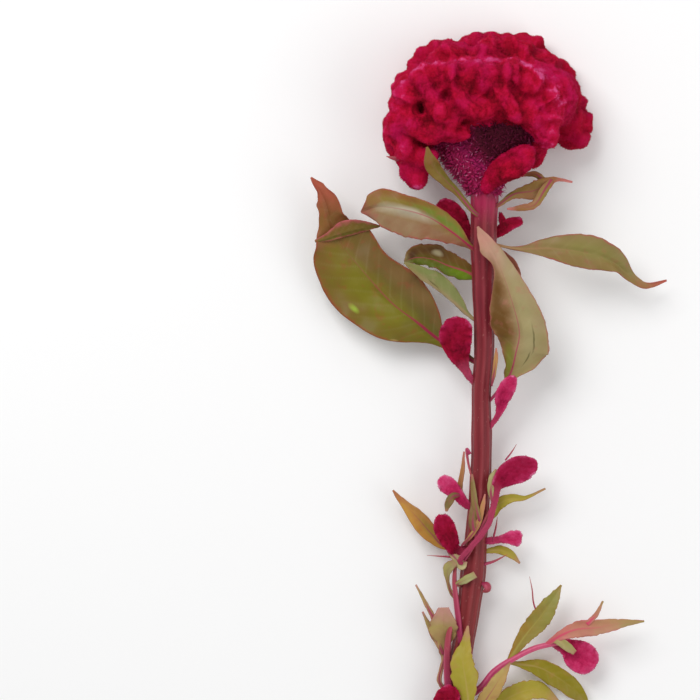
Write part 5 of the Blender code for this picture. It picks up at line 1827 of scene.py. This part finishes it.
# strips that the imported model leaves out
EXTRAS = [
    Blade("leaf_large_fold", "leaf_olive", [Strip([
        (-87, 74.5, 18, 0.5), (-80, 76.5, 19.5, 2.6, 2.4), (-72, 79, 20.2, 6, 3), (-63, 81, 20, 4, 2.6),
        (-54.5, 82, 20, 0.4)], (20, -40), waves=1.5, wave_height=0.5)], modelled=False),
    Blade("stem_bract_pale", "leaf_lime", [Strip([
        (1.6, -56, 21, 0.5), (0.8, -50, 22.4, 1.8, 1.6), (1.6, -44, 22.6, 2), (3.4, -39.5, 22, 0.4)],
        (-12, -12))], modelled=False),
    Blade("stem_strip", "leaf_blush", [Strip([
        (1.2, 2, 23, 0.4), (2.4, 9, 24.6, 1), (3.2, 16, 25.2, 1.1), (3.4, 21, 25, 0.3)])], modelled=False),
    Blade("stem_bract_high", "leaf_olive", [Strip([
        (-6.5, -74, 20, 0.5), (-8.2, -66, 21.6, 2.2, 1.8), (-7.4, -58, 22, 2), (-8.6, -52, 22, 0.3)],
        (-12, -12))], modelled=False),
    Blade("stem_bract_cross", "leaf_blush", [Strip([
        (-13.5, -78, 17, 0.5), (-9, -73, 20.4, 1.2, 1), (-5.5, -67, 21, 1.4), (-3.2, -58, 21, 1.2),
        (-2, -52, 20, 0.3)])], modelled=False),
    Blade("shoot_bract", "leaf_lime", [Strip([
        (32.5, -126, 15, 0.6), (35.5, -126.4, 17.6, 2.2, 1.8), (39, -128.6, 18.8, 2.6, 2.2),
        (43, -131.6, 18.2, 1.4, 1.2)])], modelled=False),
    Blade("bract_cream", "leaf_lime", [Strip([
        (-20.5, -81, 14.5, 0.6), (-16.5, -84.5, 16.5, 2.4, 1.8), (-13.5, -88, 17.5, 2.6, 2.4),
        (-11, -86, 18, 0.4)])], modelled=False),
]


def main() -> None:
    """Builds the flower and its studio, and reports each piece."""
    logging.basicConfig(level=logging.INFO, format="%(name)s: %(message)s")
    blades = [*BLADES, COMB_BRACT, *EXTRAS]
    Studio().build()
    Stem(STEM_STATIONS).build()
    Stalks("shoot_stalk", [SHOOT_PATH], SHOOT_FINISH, 90, 28, 5, 0.1, ("shoot_right",)).build()
    Crest(CREST_FOLDS).build()
    FloretField(BED_STATIONS).build()
    Foliage(blades, LEAF_FINISHES).build()
    Stalks("sprigs", SPRIGS, SPRIG_FINISH).build()
    SideCombs(blades).build()


if __name__ == "__main__":
    main()
